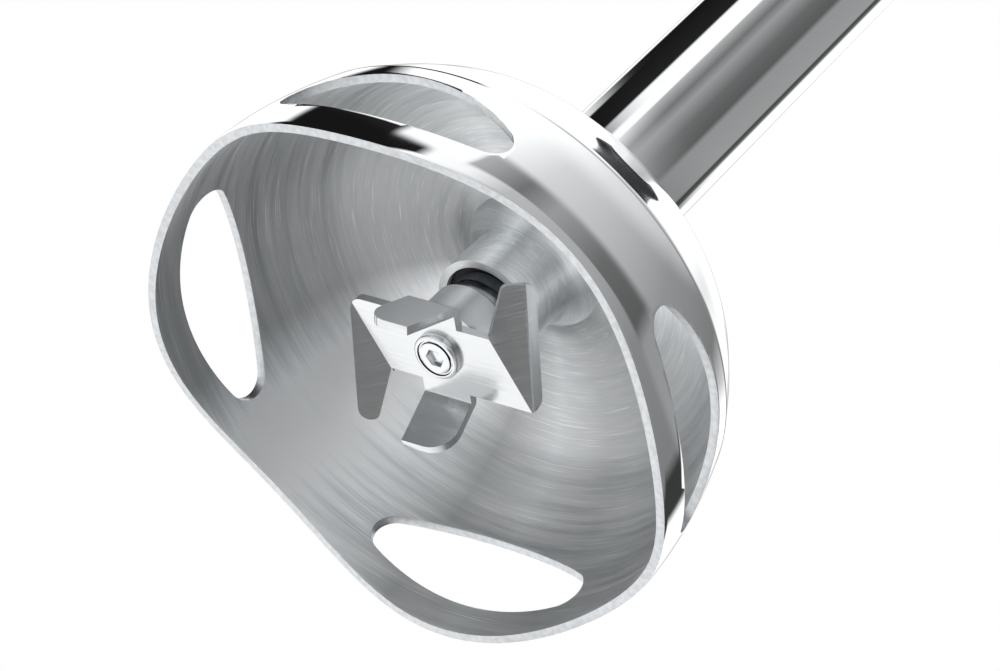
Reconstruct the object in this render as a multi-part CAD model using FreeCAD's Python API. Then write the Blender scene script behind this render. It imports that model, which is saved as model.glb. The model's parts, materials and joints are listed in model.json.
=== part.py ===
import FreeCAD, Part
import math
import os

# Immersion blender: a stainless foot with a windowed bell guard and a bent-wing blade,
# and a motor handle that lifts off it. Millimetres. The origin is the centre of the bell's
# mouth, in the plane of the four rim lands that it stands on. +Z runs up the drive axis,
# -Y is the side with the buttons.

V = FreeCAD.Vector
UP = V(0, 0, 1)
ORIGIN = V(0, 0, 0)

# ---- fits ---------------------------------------------------------------------------------
RUNNING = 0.03            # radial clearance of a shaft in its bush
SEAT = 0.02               # radial clearance of a piece seated in its pocket
SLIP = 0.3                # gap between pieces that move past each other
OVER = 1.0                # how far a cutter runs past what it cuts

# ---- bell guard ---------------------------------------------------------------------------
BELL_R = 33.0             # outer radius at the rim
BELL_WALL = 1.0
KNUCKLE_IN = 0.38         # inner face's offsets as shares of the wall: at the first bend,
SHOULDER_IN = 0.75        # at the shoulder,
FLAT_IN = 0.3             # at the flat top, where it lies a full wall lower,
TOP_IN = 1.8              # and round the neck, where the sheet is doubled
SKIRT_MID_DROP = 0.52     # how much the skirt has drawn in half way up
CREASE_Z = 16.7           # fold line between skirt and dome
CREASE_DROP = 2.23        # how much the skirt has drawn in at the crease
DOME_TOP_Z = 30.66        # where the dome meets the tube
KNUCKLE_SHARE = 0.8585    # radius of the dome's first bend as a share of the rim's
KNUCKLE_Z = 21.58
SHOULDER_R = 25.25        # a point of the dome's round shoulder
SHOULDER_Z = 25.77
DOME_FLAT_R = 18.98       # where the shoulder has turned into the flat top
DOME_FLAT_Z = 28.99
RIM_WAVE = 3.36           # rise of the rim between the four lands
LAND_DEPTH = 0.05         # how deep the four standing lands are ground into the wave
WINDOWS = 4
WINDOW_HALF = 14.0        # half the width of a side window
WINDOW_SILL_Z = 4.3       # lower edge at the window's middle
WINDOW_SILL_R = 45.0      # its curve, which follows the rim's wave
WINDOW_TOP_Z = 14.1       # upper edge at the window's middle
WINDOW_ARCH_R = 27.5
WINDOW_CORNER_R = 2.8
NECK_R = 6.15             # bearing neck that hangs inside the bell
NECK_Z = 17.8             # its mouth
NECK_FLARE_R = 6.0        # fillet that flares it into the dome
NECK_FLARE_SLOPE = 0.12   # rise of the flare where it meets the dome
SPIGOT_H = 4.0            # spigot on the dome that centres the tube

# ---- foot tube, shaft and bearings ----------------------------------------------------------
TUBE_R = 8.41
TUBE_WALL = 0.8
TUBE_TOP_Z = 172.0
SHAFT_R = 3.0
BUSH_R = 5.2              # outer radius of the lower bush and of the shaft seal
SEAL_H = 2.2
SEAL_THROAT = 0.9         # room between the seal's body and the shaft
LIP_REACH = 1.2           # how far the lip reaches out from the shaft
LIP_T = 0.8
SEAL_RECESS = 0.9         # how far the seal sits inside the neck's mouth
BUSH_H = 9.0
UPPER_BUSH_Z = 156.0
UPPER_BUSH_H = 10.0
WASHER_R = 4.3

# ---- blade ------------------------------------------------------------------------------------
BLADE_Z = 8.7             # underside of the flat middle of the blade
BLADE_T = 1.0
WING_FOLD = 5.66          # distance of a small wing's fold from the axis
WING_NEAR = 2.9           # where a small wing's fold ends beside the notch
WING_FAR = 3.2            # its other end
WING_LENGTH = 6.9
WING_LEAN = 1.1           # how far the small wing leans sideways along its length
WING_BEND = 75.0
WING_TIP_R = 2.8
NOTCH_X = 7.1             # far corner of the notch between a small and a large wing
NOTCH_Y = 3.9
ARM_X = 11.1              # straight outer edge of the strip
ARM_REAR_Y = 4.6          # its rear edge
ARM_TIP_X = 8.9           # inner corner of the swept tip
ARM_TIP_Y = 9.5
ARM_CORNER_R = 1.5
ARM_TIP_R = 0.7
FLAP_REAR_Y = 4.3         # where the large wing's fold meets the outer edge
FLAP_BEND = 50.0
GROUND_WIDTH = 1.5        # width of the ground edge of a large wing
GROUND_LAND = 0.15        # thickness left standing at the sharp edge
GROUND_START = 0.35       # how far past the fold's end the lower grinding starts
HUB_R = 4.95
HUB_SHOULDER_Z = 15.4     # where the hub necks down to the washer's size
HUB_CHAMFER = 0.5
HUB_TOP_Z = 17.0
HUB_FLOOR = 2.4           # hub's thickness between the blade and the shaft's end
SCREW_HEAD_R = 2.8
SCREW_HEAD_H = 0.9
SCREW_SHANK_R = 1.5
SCREW_LENGTH = 6.0
SCREW_EDGE_R = 0.4
SCREW_RING_R = 2.25       # groove turned into the screw's head
SCREW_RING_WIDTH = 0.3
SCREW_RING_DEPTH = 0.2
SCREW_HEX = 2.0           # across the flats of its hexagonal socket
SCREW_HEX_DEPTH = 0.7

# ---- foot collar and drive coupling ---------------------------------------------------------
COLLAR_Z = 150.0
COLLAR_NECK_R = 10.4
COLLAR_R = 22.0
COLLAR_FLARE_Z = 190.0    # where the flare has reached the full radius
COLLAR_NECK_H = 8.0       # straight length at the collar's lower end
COLLAR_THROAT_H = 22.0    # a point of the flare: its height above the lower end
COLLAR_THROAT_OUT = 3.2   # and how far it has opened there
COLLAR_LIP_DROP = 6.0     # the flare's last point below its end
COLLAR_LIP_IN = 1.2
FOOT_TOP_Z = 200.0
CHAMBER_R = 17.0          # socket that takes the handle's spigot
CHAMBER_Z = 184.0
COLLAR_BORE_R = 5.5       # bore round the shaft between tube and chamber
RING_H = 1.6              # latch ring
RING_R = 18.4
RING_Z = 190.5
ORING_WIRE_R = 0.9
ORING_IN = 0.6            # how far its middle lies inside the middle of the tube's wall
SOCKET_R = 8.0
SOCKET_Z = 186.5
SOCKET_TOP_Z = 199.0
SOCKET_FLOOR = 4.0        # length of shaft inside the socket
SOCKET_CHAMFER = 0.8
SOCKET_FLATS = 9.0        # across the flats of the hexagonal socket
HEX_CLEARANCE = 0.2
HEX_DEPTH = 9.0
DOG_TIP = 0.6             # room between the driver's tip and the socket's floor
DOG_BOSS_GAP = 3.2        # room round the driver's boss
DOG_BOSS_TOP = 1.2        # room above it
CLIP_R = 4.6
CLIP_H = 0.8
CLIP_OPENING = 2.4

# ---- handle -----------------------------------------------------------------------------------
HANDLE_GAP = 0.3          # joint line between the foot collar and the handle
SLEEVE_R = 22.0
SLEEVE_TOP_R = 24.3
SLEEVE_TOP_Z = 226.0
SLEEVE_WALL = 2.0
SLEEVE_FLOOR = 2.8
SPIGOT_WALL = 2.1
SPIGOT_LENGTH = 14.0
TRIM_H = 4.0
HOUSING_TOP_Z = 372.0
HOUSING_WALL = 2.0
GRIP_R = 25.8             # handle's outer radius at its waist
GRIP_Z = 280.0
SHOULDER_OUT_R = 29.0     # handle's outer radius under the cap
TRIM_PROUD = 0.3          # how far the trim ring stands out at its upper edge
TRIM_STEP = 0.1           # width of the ledge that the housing's foot leaves on the ring
GRIP_LOW = 26.0           # points of the housing's side: below the waist,
GRIP_LOW_IN = 0.3
GRIP_HIGH = 30.0          # above it,
GRIP_HIGH_OUT = 0.5
SHOULDER_DROP = 30.0      # and under the cap
SHOULDER_IN_R = 1.4
PAD_T = 1.4               # soft grip's thickness
PAD_LOW_Z = 246.0
PAD_HIGH_Z = 340.0
PAD_ANGLE = 156.0
PAD_EDGE = 1.2            # length of the pad's thinned ends
PAD_THIN = 1.0            # how much thinner they are
PAD_BODY = 20.0           # points of its face above and below the middle
PAD_BITE = 0.1            # how deep its outline starts inside the housing's line
CAP_H = 14.0
CAP_EDGE_R = 6.0
DIAL_R = 17.0
DIAL_H = 11.0
DIAL_RIBS = 24
DIAL_GAP = 1.0            # room round the dial in the cap's well
DIAL_EDGE_R = 2.0
DIAL_SHAFT_R = 3.0
DIAL_SHAFT_REACH = 5.5    # how far the dial's shaft reaches down below the dial
DIAL_SHAFT_GAP = 0.6      # room round that shaft in the cap
DIAL_WALL = 2.5
DIAL_HUB_R = 5.0
FLUTE_R = 1.1             # flutes between the dial's ribs
FLUTE_OUT = 0.4
POINTER_HALF = 0.8
POINTER_DEPTH = 0.6
WELL_DEPTH = 3.0
POT_R = 8.0
POT_H = 6.0
POT_BORE = 4.0            # depth of the potentiometer's bore

# ---- motor ----------------------------------------------------------------------------------
STATOR_R = 21.5
STATOR_Z = 258.0
STATOR_H = 30.0
AIR_GAP = 0.5
STATOR_YOKE = 3.0         # thickness of the stator's outer ring
POCKET_ANGLE = 100.0      # opening of each side pocket in the stator
COIL_ANGLE = 94.0
COIL_GAP = 0.4            # room between a coil and the yoke
COIL_TIP_GAP = 0.6        # and between it and the poles' bore
ARMATURE_R = 11.5
ARMATURE_SLOTS = 12
SLOT_DEPTH = 4.0
SLOT_HALF = 0.8
WINDING_H = 6.0           # height of the end turns
WINDING_IN = 1.2
SHAFT_END = 4.0           # shaft above the upper bracket
SHAFT_DROP = 2.0          # and below the sleeve's floor
COIL_OVERHANG = 7.0
COMMUTATOR_R = 8.0
COMMUTATOR_Z = 299.0
COMMUTATOR_H = 10.0
BAR_GAP = 0.4             # gap between two commutator bars
BAR_GAP_DEPTH = 1.0
BEARING_R = 8.0
BEARING_H = 5.0
RACE_T = 1.4              # thickness of a bearing's races
SHIELD_DEPTH = 0.4        # how far its shields are set back
BASE_Z = 215.0            # motor base plate that carries the lower bearing
BASE_H = 5.0
SEAT_FLOOR = 1.0          # floor or lip that a bearing sits against
SHAFT_GAP = 1.5           # room round the shaft in the plate
VENTS = 6
VENT_NEAR = 13.0
VENT_FAR = 17.0
VENT_HALF = 3.0
LEDGE_H = 2.0             # ledge in the sleeve that the plate stands on
LEDGE_WIDTH = 4.0
FAN_Z = 230.0
FAN_H = 11.0
FAN_R = 19.5
FAN_BLADES = 9
FAN_PLATE = 1.4
FAN_HUB = 2.5             # thickness of the fan's hub
VANE_T = 1.2
VANE_IN = 0.5             # how far the vanes end inside the plate's edge
VANE_DROP = 2.0           # and below the hub's top
BRACKET_Z = 312.0         # upper bearing bracket
BRACKET_H = 4.0
BRACKET_HALF = 12.0
BRUSH_HALF = 2.4
BRUSH_BOX_T = 0.8
BRUSH_RISE = 1.5          # holder's height above the commutator's foot
BRUSH_GAP = 0.05
BRUSH_NEAR = 2.0          # holder's distance from the commutator
BRUSH_END = 5.0           # how far the brush ends inside the stator's radius

# ---- controls -------------------------------------------------------------------------------
TRAVEL = 2.0              # travel of every button
ON_Z = 338.0
ON_HEIGHT = 18.0
TURBO_Z = 358.0
TURBO_HEIGHT = 12.0
BUTTON_WIDTH = 16.0
BUTTON_PROUD = 2.4
BUTTON_EDGE_R = 0.5
BUTTON_CORNER_R = 3.0
BUTTON_CROWN = 0.2        # how far the face is domed back from flat
BUTTON_RIM = 2.0          # depth of the cap's front that has the rounded rim
FLANGE_T = 1.4
FLANGE_LIP = 1.4
STEM_R = 2.0
COIL_PAST = 1.0           # how much wider than the stem its spring is
PLUNGER_R = 1.4
PLUNGER_H = 0.2
SWITCH_SIDE = 11.0
SWITCH_FACE = 11.5        # distance of the switches' faces from the axis
BOARD_FACE = 4.0          # distance of the board's front face from the axis
BOARD_T = 1.6
BOARD_HALF = 15.0
BOARD_LOW_Z = 327.0
BOARD_HIGH_Z = 361.0
TRIAC_SIZE = (10.0, 3.0, 12.0)
TRIAC_RISE = 3.0          # heights above the board's lower edge
CHIP_SIZE = (6.0, 1.6, 6.0)
CHIP_RISE = 19.0
CAPACITOR_SIZE = (18.0, 7.0, 13.0)
CAPACITOR_RISE = 2.0
CAPACITOR_GAP = 4.9       # distance of the capacitor from the board's back
CAPACITOR_EDGE_R = 1.0
SPRING_WIRE_R = 0.35
SPRING_TURNS = 4
RELEASE_Z = 209.0
RELEASE_HEIGHT = 8.0
RELEASE_HALF = 6.0
RELEASE_PROUD = 2.6
RELEASE_EDGE_R = 1.2
RELEASE_WAY_R = 12.0      # where the room behind a release button begins
LATCH_HALF = 4.0
LATCH_T = 1.8
LATCH_NOSE_Z = 189.0
LATCH_NOSE_H = 1.4
LATCH_NOSE = 0.3          # how far the nose stands out from the arm
SPRING_SEAT_R = 10.3
SPRING_TUBE_WALL = 2.0
RELEASE_COIL_R = 1.8
RELEASE_SPRING = 4.2      # room for a release button's spring
SPRING_PLAY = 0.1         # how much shorter a spring is than its room
GLAND_Z = 354.0
GLAND_R = 7.0
GLAND_NECK_R = 5.2
GLAND_BORE_R = 3.6
GLAND_REACH = 31.5
GLAND_FLANGE = 2.4
GLAND_EDGE_R = 1.0
GLAND_INNER = 20.0
CLAMP_HALF = 9.0
CLAMP_Y = 12.0            # front face of the clamp's base
CLAMP_T = 3.0
CLAMP_RISE = 4.0
CLAMP_ARCH_R = 5.4
CLAMP_ARCH_LENGTH = 8.0
BOSS_X = 20.3
BOSS_R = 3.2
BOSS_LENGTH = 12.0
SCREW_R = 1.25
SCREW_HEAD = 2.5
SCREW_Z = (321.0, 367.0)
SCREW_HEAD_DEPTH = 5.0    # distance of the screw heads' seats from the axis plane
SCREW_HEAD_T = 1.6
SCREW_RECESS_R = 1.0
SCREW_RECESS = 0.8        # depth of the driver's recess
SCREW_BITE = 0.05         # how much wider than the screw its pilot hole is
SCREW_PAST = 0.3          # and its clearance hole
SCREW_TIP = 3.0           # how far the screw stops short of the boss's end

# ---- worked out from the sizes above ----------------------------------------------------------
NECK_BORE_R = BUSH_R + SEAT
TUBE_BORE_R = TUBE_R - TUBE_WALL
SHAFT_HOLE_R = SHAFT_R + RUNNING
SEAL_Z = NECK_Z + SEAL_RECESS
BUSH_Z = SEAL_Z + SEAL_H
HANDLE_Z = FOOT_TOP_Z + HANDLE_GAP
SPIGOT_R = CHAMBER_R - SLIP
HOUSING_Z = SLEEVE_TOP_Z + TRIM_H
CAP_TOP_Z = HOUSING_TOP_Z + CAP_H
STEM_END = SWITCH_FACE + TRAVEL + SLIP


def save(name, shape):
    """Write one sub-part, made clean and checked to be sound."""
    shape = shape.removeSplitter()
    if not shape.isValid() or not shape.Solids:
        raise ValueError(name + " is not a sound solid")
    shape.exportStep("parts/" + name + ".step")


def disc(radius, low, high):
    """Upright cylinder about the drive axis between two heights."""
    return Part.makeCylinder(radius, high - low, V(0, 0, low), UP)


def ring(outer, inner, low, high):
    return disc(outer, low, high).cut(disc(inner, low - OVER, high + OVER))


def rod(radius, start, end):
    """Cylinder from one point to another."""
    way = end.sub(start)
    return Part.makeCylinder(radius, way.Length, start, way)


def block(x0, x1, y0, y1, z0, z1):
    return Part.makeBox(x1 - x0, y1 - y0, z1 - z0, V(x0, y0, z0))


def turned(edges, angle=360.0, start=0.0):
    """Revolve a closed outline of edges, drawn in the XZ plane, about the drive axis."""
    face = Part.Face(Part.Wire(Part.__sortEdges__(edges)))
    solid = face.revolve(ORIGIN, UP, angle)
    solid.rotate(ORIGIN, UP, start)
    return solid


def line(a, b):
    return Part.makeLine(V(a[0], 0, a[1]), V(b[0], 0, b[1]))


def lines(points):
    return [line(a, b) for a, b in zip(points, points[1:])]


def curve(points, start=None, end=None):
    """Smooth edge through points of the XZ plane, with optional end directions."""
    spline = Part.BSplineCurve()
    poles = [V(x, 0, z) for x, z in points]
    if start is None:
        spline.interpolate(poles)
    else:
        spline.interpolate(Points=poles, InitialTangent=V(start[0], 0, start[1]),
                           FinalTangent=V(end[0], 0, end[1]))
    return spline.toShape()


def rounded_slab(width, height, depth, corner, centre_z, face):
    """Slab facing -Y: face is its outer face's distance from the axis, depth runs inwards."""
    slab = block(-width / 2, width / 2, -face, -face + depth,
                 centre_z - height / 2, centre_z + height / 2)
    edges = [e for e in slab.Edges if abs(e.tangentAt(e.FirstParameter).y) > 0.99]
    return slab.makeFillet(corner, edges)


def turned_copies(shape, count, first=0.0):
    """The shape repeated evenly about the drive axis."""
    copies = []
    for k in range(count):
        copy = shape.copy()
        copy.rotate(ORIGIN, UP, first + 360.0 * k / count)
        copies.append(copy)
    return copies


def coil_spring(radius, length, base, way):
    """Small spring standing on base and pointing along way: its turns as a stack of rings
    that one bar joins."""
    pitch = (length - 2 * SPRING_WIRE_R) / SPRING_TURNS
    turns = [Part.makeTorus(radius, SPRING_WIRE_R, V(0, 0, SPRING_WIRE_R + k * pitch), UP)
             for k in range(SPRING_TURNS + 1)]
    bar = Part.makeCylinder(SPRING_WIRE_R * 0.8, pitch * SPRING_TURNS,
                            V(0, radius, SPRING_WIRE_R), UP)
    spring = bar.multiFuse(turns)
    spring.Placement = FreeCAD.Placement(base, FreeCAD.Rotation(UP, way))
    return spring


def hexagon(flats, low, high):
    radius = flats / math.sqrt(3)
    corners = [V(radius * math.cos(math.radians(60 * k)),
                 radius * math.sin(math.radians(60 * k)), low) for k in range(7)]
    return Part.Face(Part.makePolygon(corners)).extrude(V(0, 0, high - low))


# ---- bell guard: pressed dome and skirt, waved rim, four windows, bearing neck ---------------
def wave_loop(radius, base, rise):
    """Closed smooth loop about the axis that rises between the windows."""
    steps = 72
    points = []
    for k in range(steps):
        angle = 2 * math.pi * k / steps
        height = base + rise / 2 * (1 - math.cos(WINDOWS * angle))
        points.append(V(radius * math.cos(angle), radius * math.sin(angle), height))
    spline = Part.BSplineCurve()
    spline.interpolate(Points=points, PeriodicFlag=True)
    return spline.toShape()


def rim_tool():
    """Ring of everything under the waved rim, which dips to a land under each window."""
    inner = NECK_R + NECK_FLARE_R
    outer = BELL_R + SPIGOT_H
    low = -SPIGOT_H
    top_inner = wave_loop(inner, -LAND_DEPTH, RIM_WAVE)
    top_outer = wave_loop(outer, -LAND_DEPTH, RIM_WAVE)
    low_inner = wave_loop(inner, low, 0)
    low_outer = wave_loop(outer, low, 0)
    faces = [Part.makeRuledSurface(top_inner, top_outer), Part.makeRuledSurface(top_outer, low_outer),
             Part.makeRuledSurface(low_outer, low_inner), Part.makeRuledSurface(low_inner, top_inner)]
    shell = Part.makeShell(faces)
    shell.sewShape()
    solid = Part.makeSolid(shell)
    if solid.Volume < 0:
        solid.reverse()
    return solid


def window_tool():
    """Cutter for one window, punched along +X."""
    edge = WINDOW_HALF
    sill_end = WINDOW_SILL_Z + WINDOW_SILL_R - math.sqrt(WINDOW_SILL_R ** 2 - edge ** 2)
    arch_end = WINDOW_TOP_Z - WINDOW_ARCH_R + math.sqrt(WINDOW_ARCH_R ** 2 - edge ** 2)
    near = DOME_FLAT_R
    corners = [V(near, -edge, sill_end), V(near, edge, sill_end),
               V(near, edge, arch_end), V(near, -edge, arch_end)]
    sill = Part.Arc(corners[0], V(near, 0, WINDOW_SILL_Z), corners[1]).toShape()
    arch = Part.Arc(corners[2], V(near, 0, WINDOW_TOP_Z), corners[3]).toShape()
    outline = Part.Wire([sill, Part.makeLine(corners[1], corners[2]), arch,
                         Part.makeLine(corners[3], corners[0])])
    cutter = Part.Face(outline).extrude(V(BELL_R, 0, 0))
    edges = [e for e in cutter.Edges if abs(e.tangentAt(e.FirstParameter).x) > 0.99]
    return cutter.makeFillet(WINDOW_CORNER_R, edges)


def bell_guard():
    crease_r = BELL_R - CREASE_DROP
    outer = [(BELL_R, -OVER), (BELL_R, 0.0), (BELL_R - SKIRT_MID_DROP, CREASE_Z / 2),
             (crease_r, CREASE_Z)]
    dome = [(crease_r, CREASE_Z), (KNUCKLE_SHARE * BELL_R, KNUCKLE_Z), (SHOULDER_R, SHOULDER_Z),
            (DOME_FLAT_R, DOME_FLAT_Z), (TUBE_R, DOME_TOP_Z)]
    wall = BELL_WALL
    inner_skirt = [(BELL_R - wall, -OVER), (BELL_R - wall, 0.0),
                   (BELL_R - SKIRT_MID_DROP - wall, CREASE_Z / 2), (crease_r - wall, CREASE_Z)]
    inner_dome = [(crease_r - wall, CREASE_Z), (KNUCKLE_SHARE * BELL_R - wall,
                                                KNUCKLE_Z - KNUCKLE_IN * wall),
                  (SHOULDER_R - SHOULDER_IN * wall, SHOULDER_Z - SHOULDER_IN * wall),
                  (DOME_FLAT_R - FLAT_IN * wall, DOME_FLAT_Z - wall),
                  (NECK_R + NECK_FLARE_R, DOME_TOP_Z - TOP_IN * wall)]
    flare = [(NECK_R + NECK_FLARE_R, DOME_TOP_Z - TOP_IN * wall),
             (NECK_R, DOME_TOP_Z - TOP_IN * wall - NECK_FLARE_R)]
    edges = [line(outer[0], outer[1]), curve(outer[1:]), curve(dome),
             line((TUBE_R, DOME_TOP_Z), (TUBE_BORE_R - SEAT, DOME_TOP_Z))]
    spigot_top = DOME_TOP_Z + SPIGOT_H
    edges += lines([(TUBE_BORE_R - SEAT, DOME_TOP_Z), (TUBE_BORE_R - SEAT, spigot_top),
                    (NECK_BORE_R, spigot_top), (NECK_BORE_R, NECK_Z), (NECK_R, NECK_Z),
                    flare[1]])
    edges.append(curve([flare[1], flare[0]], (0, 1), (1, NECK_FLARE_SLOPE)))
    edges += [curve(inner_dome), curve(inner_skirt[1:]),
              line(inner_skirt[1], inner_skirt[0]), line(inner_skirt[0], outer[0])]
    bell = turned(edges)
    bell = bell.cut(rim_tool())
    bell = bell.cut(block(-BELL_R, BELL_R, -BELL_R, BELL_R, -BELL_R, 0))
    return bell.cut(turned_copies(window_tool(), WINDOWS))


# ---- foot: tube, bushes, seal -------------------------------------------------------------
def foot_tube():
    return ring(TUBE_R, TUBE_BORE_R, DOME_TOP_Z, TUBE_TOP_Z)


def lower_bush():
    """Sintered bronze bush in the neck, held up by its collar above the spigot."""
    top = BUSH_Z + BUSH_H
    bush = disc(BUSH_R, BUSH_Z, top)
    return bush.cut(disc(SHAFT_HOLE_R, BUSH_Z - OVER, top + OVER))


def shaft_seal():
    """Rubber lip seal under the bush: a thick ring with a thin lip on the shaft."""
    body = ring(BUSH_R, SHAFT_R + SEAL_THROAT, SEAL_Z, SEAL_Z + SEAL_H)
    lip = ring(SHAFT_R + LIP_REACH, SHAFT_HOLE_R, SEAL_Z, SEAL_Z + LIP_T)
    return body.fuse(lip)


def upper_bush():
    return ring(TUBE_BORE_R - SEAT, SHAFT_HOLE_R, UPPER_BUSH_Z, UPPER_BUSH_Z + UPPER_BUSH_H)


def thrust_washer():
    """Nylon washer between the blade hub and the seal, just inside the neck's mouth."""
    top = SEAL_Z - SLIP
    return ring(WASHER_R, SHAFT_R, HUB_TOP_Z, top)


# ---- drive: blade, hub, screw, shaft ---------------------------------------------------------
def wing_plate(outline, corner_radii, height=BLADE_T):
    """Flat plate in the XY plane with chosen corners rounded, from z = 0 up."""
    points = [V(x, y, 0) for x, y in outline]
    plate = Part.Face(Part.makePolygon(points + points[:1])).extrude(V(0, 0, height))
    for index, radius in corner_radii.items():
        corner = points[index]
        edges = [e for e in plate.Edges
                 if abs(e.tangentAt(e.FirstParameter).z) > 0.99
                 and math.hypot(e.CenterOfMass.x - corner.x, e.CenterOfMass.y - corner.y) < 0.01]
        plate = plate.makeFillet(radius, edges)
    return plate


def bend_core(width, bend):
    """Rounded outside of a downward bend, centred on a fold along X."""
    core = Part.makeCylinder(BLADE_T, width, ORIGIN, UP, bend)
    core.rotate(ORIGIN, V(0, 1, 0), -90)
    core.translate(V(width / 2, 0, 0))
    return core


def small_wing():
    """Wing that points along +Y from its fold, leans to +X and is bent down."""
    plate = wing_plate([(-WING_NEAR, 0), (WING_FAR, 0), (WING_FAR + WING_LEAN, WING_LENGTH),
                        (WING_LEAN - WING_NEAR, WING_LENGTH)], {2: WING_TIP_R})
    plate.rotate(ORIGIN, V(1, 0, 0), -WING_BEND)
    core = bend_core(WING_NEAR + WING_FAR, WING_BEND)
    core.translate(V((WING_FAR - WING_NEAR) / 2, 0, 0))
    plate = plate.fuse(core)
    plate.translate(V(0, WING_FOLD, BLADE_Z))
    return plate


def half_outline(edge):
    """Outline of the strip's -X half, from the +Y small wing round to the -Y one."""
    return [(-WING_NEAR, WING_FOLD), (-WING_NEAR, NOTCH_Y), (-NOTCH_X, NOTCH_Y),
            (-ARM_TIP_X, ARM_TIP_Y), (-edge, ARM_TIP_Y), (-edge, -ARM_REAR_Y),
            (-WING_FAR, -ARM_REAR_Y), (-WING_FAR, -WING_FOLD)]


def flat_strip(height=BLADE_T):
    """The strip before bending. Its +X outer edge is wider by the ground edge."""
    near = half_outline(ARM_X)
    far = [(-x, -y) for x, y in half_outline(ARM_X + GROUND_WIDTH)]
    radii = {3: ARM_TIP_R, 4: ARM_CORNER_R, 5: ARM_CORNER_R}
    radii.update({index + len(near): radius for index, radius in radii.items()})
    return wing_plate(near + far, radii, height)


def ground_tool(upper):
    """Prism that grinds the -X outer edge, from the upper face or from the lower one."""
    inner = (-ARM_X + GROUND_WIDTH, BLADE_T) if upper else (-ARM_X - GROUND_START, 0)
    edge_x = -ARM_X if upper else -ARM_X - GROUND_WIDTH
    land = GROUND_LAND if upper else BLADE_T - GROUND_LAND
    beyond = BLADE_T if upper else 0
    corners = [inner, (edge_x, land), (edge_x - BLADE_T, land), (edge_x - BLADE_T, beyond)]
    points = [V(x, -BELL_R, z) for x, z in corners]
    return Part.Face(Part.makePolygon(points + points[:1])).extrude(V(0, 2 * BELL_R, 0))


def fold_frame(shape):
    """Move a shape from the fold's own frame, X along it and Y outward, to the strip's."""
    along = math.degrees(math.atan2(FLAP_REAR_Y + NOTCH_Y, ARM_X - NOTCH_X))
    shape.rotate(ORIGIN, UP, along)
    shape.translate(V(-NOTCH_X, NOTCH_Y, 0))
    return shape


def large_wing(strip, upper):
    """The part of a strip beyond its -X fold, ground and bent: down if ground on top."""
    length = math.hypot(FLAP_REAR_Y + NOTCH_Y, ARM_X - NOTCH_X)
    beyond = Part.makeBox(4 * BELL_R, BELL_R, 4 * BLADE_T, V(-2 * BELL_R, 0, -BLADE_T))
    wing = strip.common(fold_frame(beyond)).cut(ground_tool(upper))
    corner = V(-NOTCH_X, NOTCH_Y, 0)
    way = V(NOTCH_X - ARM_X, -FLAP_REAR_Y - NOTCH_Y, 0)
    wing.rotate(corner, way, FLAP_BEND if upper else -FLAP_BEND)
    if upper:
        core = bend_core(2 * length, FLAP_BEND)
        wing = wing.fuse(fold_frame(core).common(flat_strip(2 * BLADE_T)))
    return wing


def blade():
    """One pressed strip: a flat middle, two small wings and two large swept ones."""
    strip = flat_strip()
    other = turned_copies(strip, 2)[1]
    beyond = Part.makeBox(4 * BELL_R, BELL_R, 4 * BLADE_T, V(-2 * BELL_R, 0, -BLADE_T))
    middle = strip.cut(turned_copies(fold_frame(beyond), 2))
    down_wing = large_wing(strip, True)
    up_wing = large_wing(other, False)
    up_wing.rotate(ORIGIN, UP, 180)
    plate = middle.multiFuse([down_wing, up_wing])
    plate.translate(V(0, 0, BLADE_Z))
    plate = plate.multiFuse(turned_copies(small_wing(), 2))
    return plate.cut(disc(SCREW_SHANK_R + SEAT, 0, HUB_TOP_Z))


def blade_hub():
    """Turned carrier that clamps the blade to the shaft's end."""
    base = BLADE_Z + BLADE_T
    hub = disc(HUB_R, base, HUB_SHOULDER_Z)
    rims = [e for e in hub.Edges if isinstance(e.Curve, Part.Circle)]
    hub = hub.makeChamfer(HUB_CHAMFER, rims).fuse(disc(WASHER_R, base, HUB_TOP_Z))
    return hub.cut(disc(SHAFT_R, base + HUB_FLOOR, HUB_TOP_Z + OVER)).cut(
        disc(SCREW_SHANK_R + SEAT, base - OVER, HUB_TOP_Z))


def blade_screw():
    """Round-headed screw with a hexagonal socket, up through the blade into the shaft."""
    low = BLADE_Z - SCREW_HEAD_H
    head = disc(SCREW_HEAD_R, low, BLADE_Z)
    head = head.makeFillet(SCREW_EDGE_R, [e for e in head.Edges if abs(e.CenterOfMass.z - low) < 0.01
                                 and isinstance(e.Curve, Part.Circle)])
    head = head.cut(ring(SCREW_RING_R, SCREW_RING_R - SCREW_RING_WIDTH, low - OVER,
                         low + SCREW_RING_DEPTH))
    shank = disc(SCREW_SHANK_R, BLADE_Z, BLADE_Z + SCREW_LENGTH)
    return head.fuse(shank).cut(hexagon(SCREW_HEX, low - OVER, low + SCREW_HEX_DEPTH))


def drive_shaft():
    base = BLADE_Z + BLADE_T + HUB_FLOOR
    shaft = disc(SHAFT_R, base, SOCKET_Z + SOCKET_FLOOR)
    return shaft.cut(disc(SCREW_SHANK_R + SEAT, base - OVER, BLADE_Z + SCREW_LENGTH + OVER))


def drive_socket():
    """Moulded female coupling on the shaft's top: a cup with a hexagonal bore."""
    cup = disc(SOCKET_R, SOCKET_Z, SOCKET_TOP_Z)
    cup = cup.makeChamfer(SOCKET_CHAMFER, [e for e in cup.Edges if isinstance(e.Curve, Part.Circle)
                                and abs(e.CenterOfMass.z - SOCKET_TOP_Z) < 0.01])
    cup = cup.cut(hexagon(SOCKET_FLATS, SOCKET_TOP_Z - HEX_DEPTH, SOCKET_TOP_Z + OVER))
    return cup.cut(disc(SHAFT_R, SOCKET_Z - OVER, SOCKET_Z + SOCKET_FLOOR))


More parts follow.
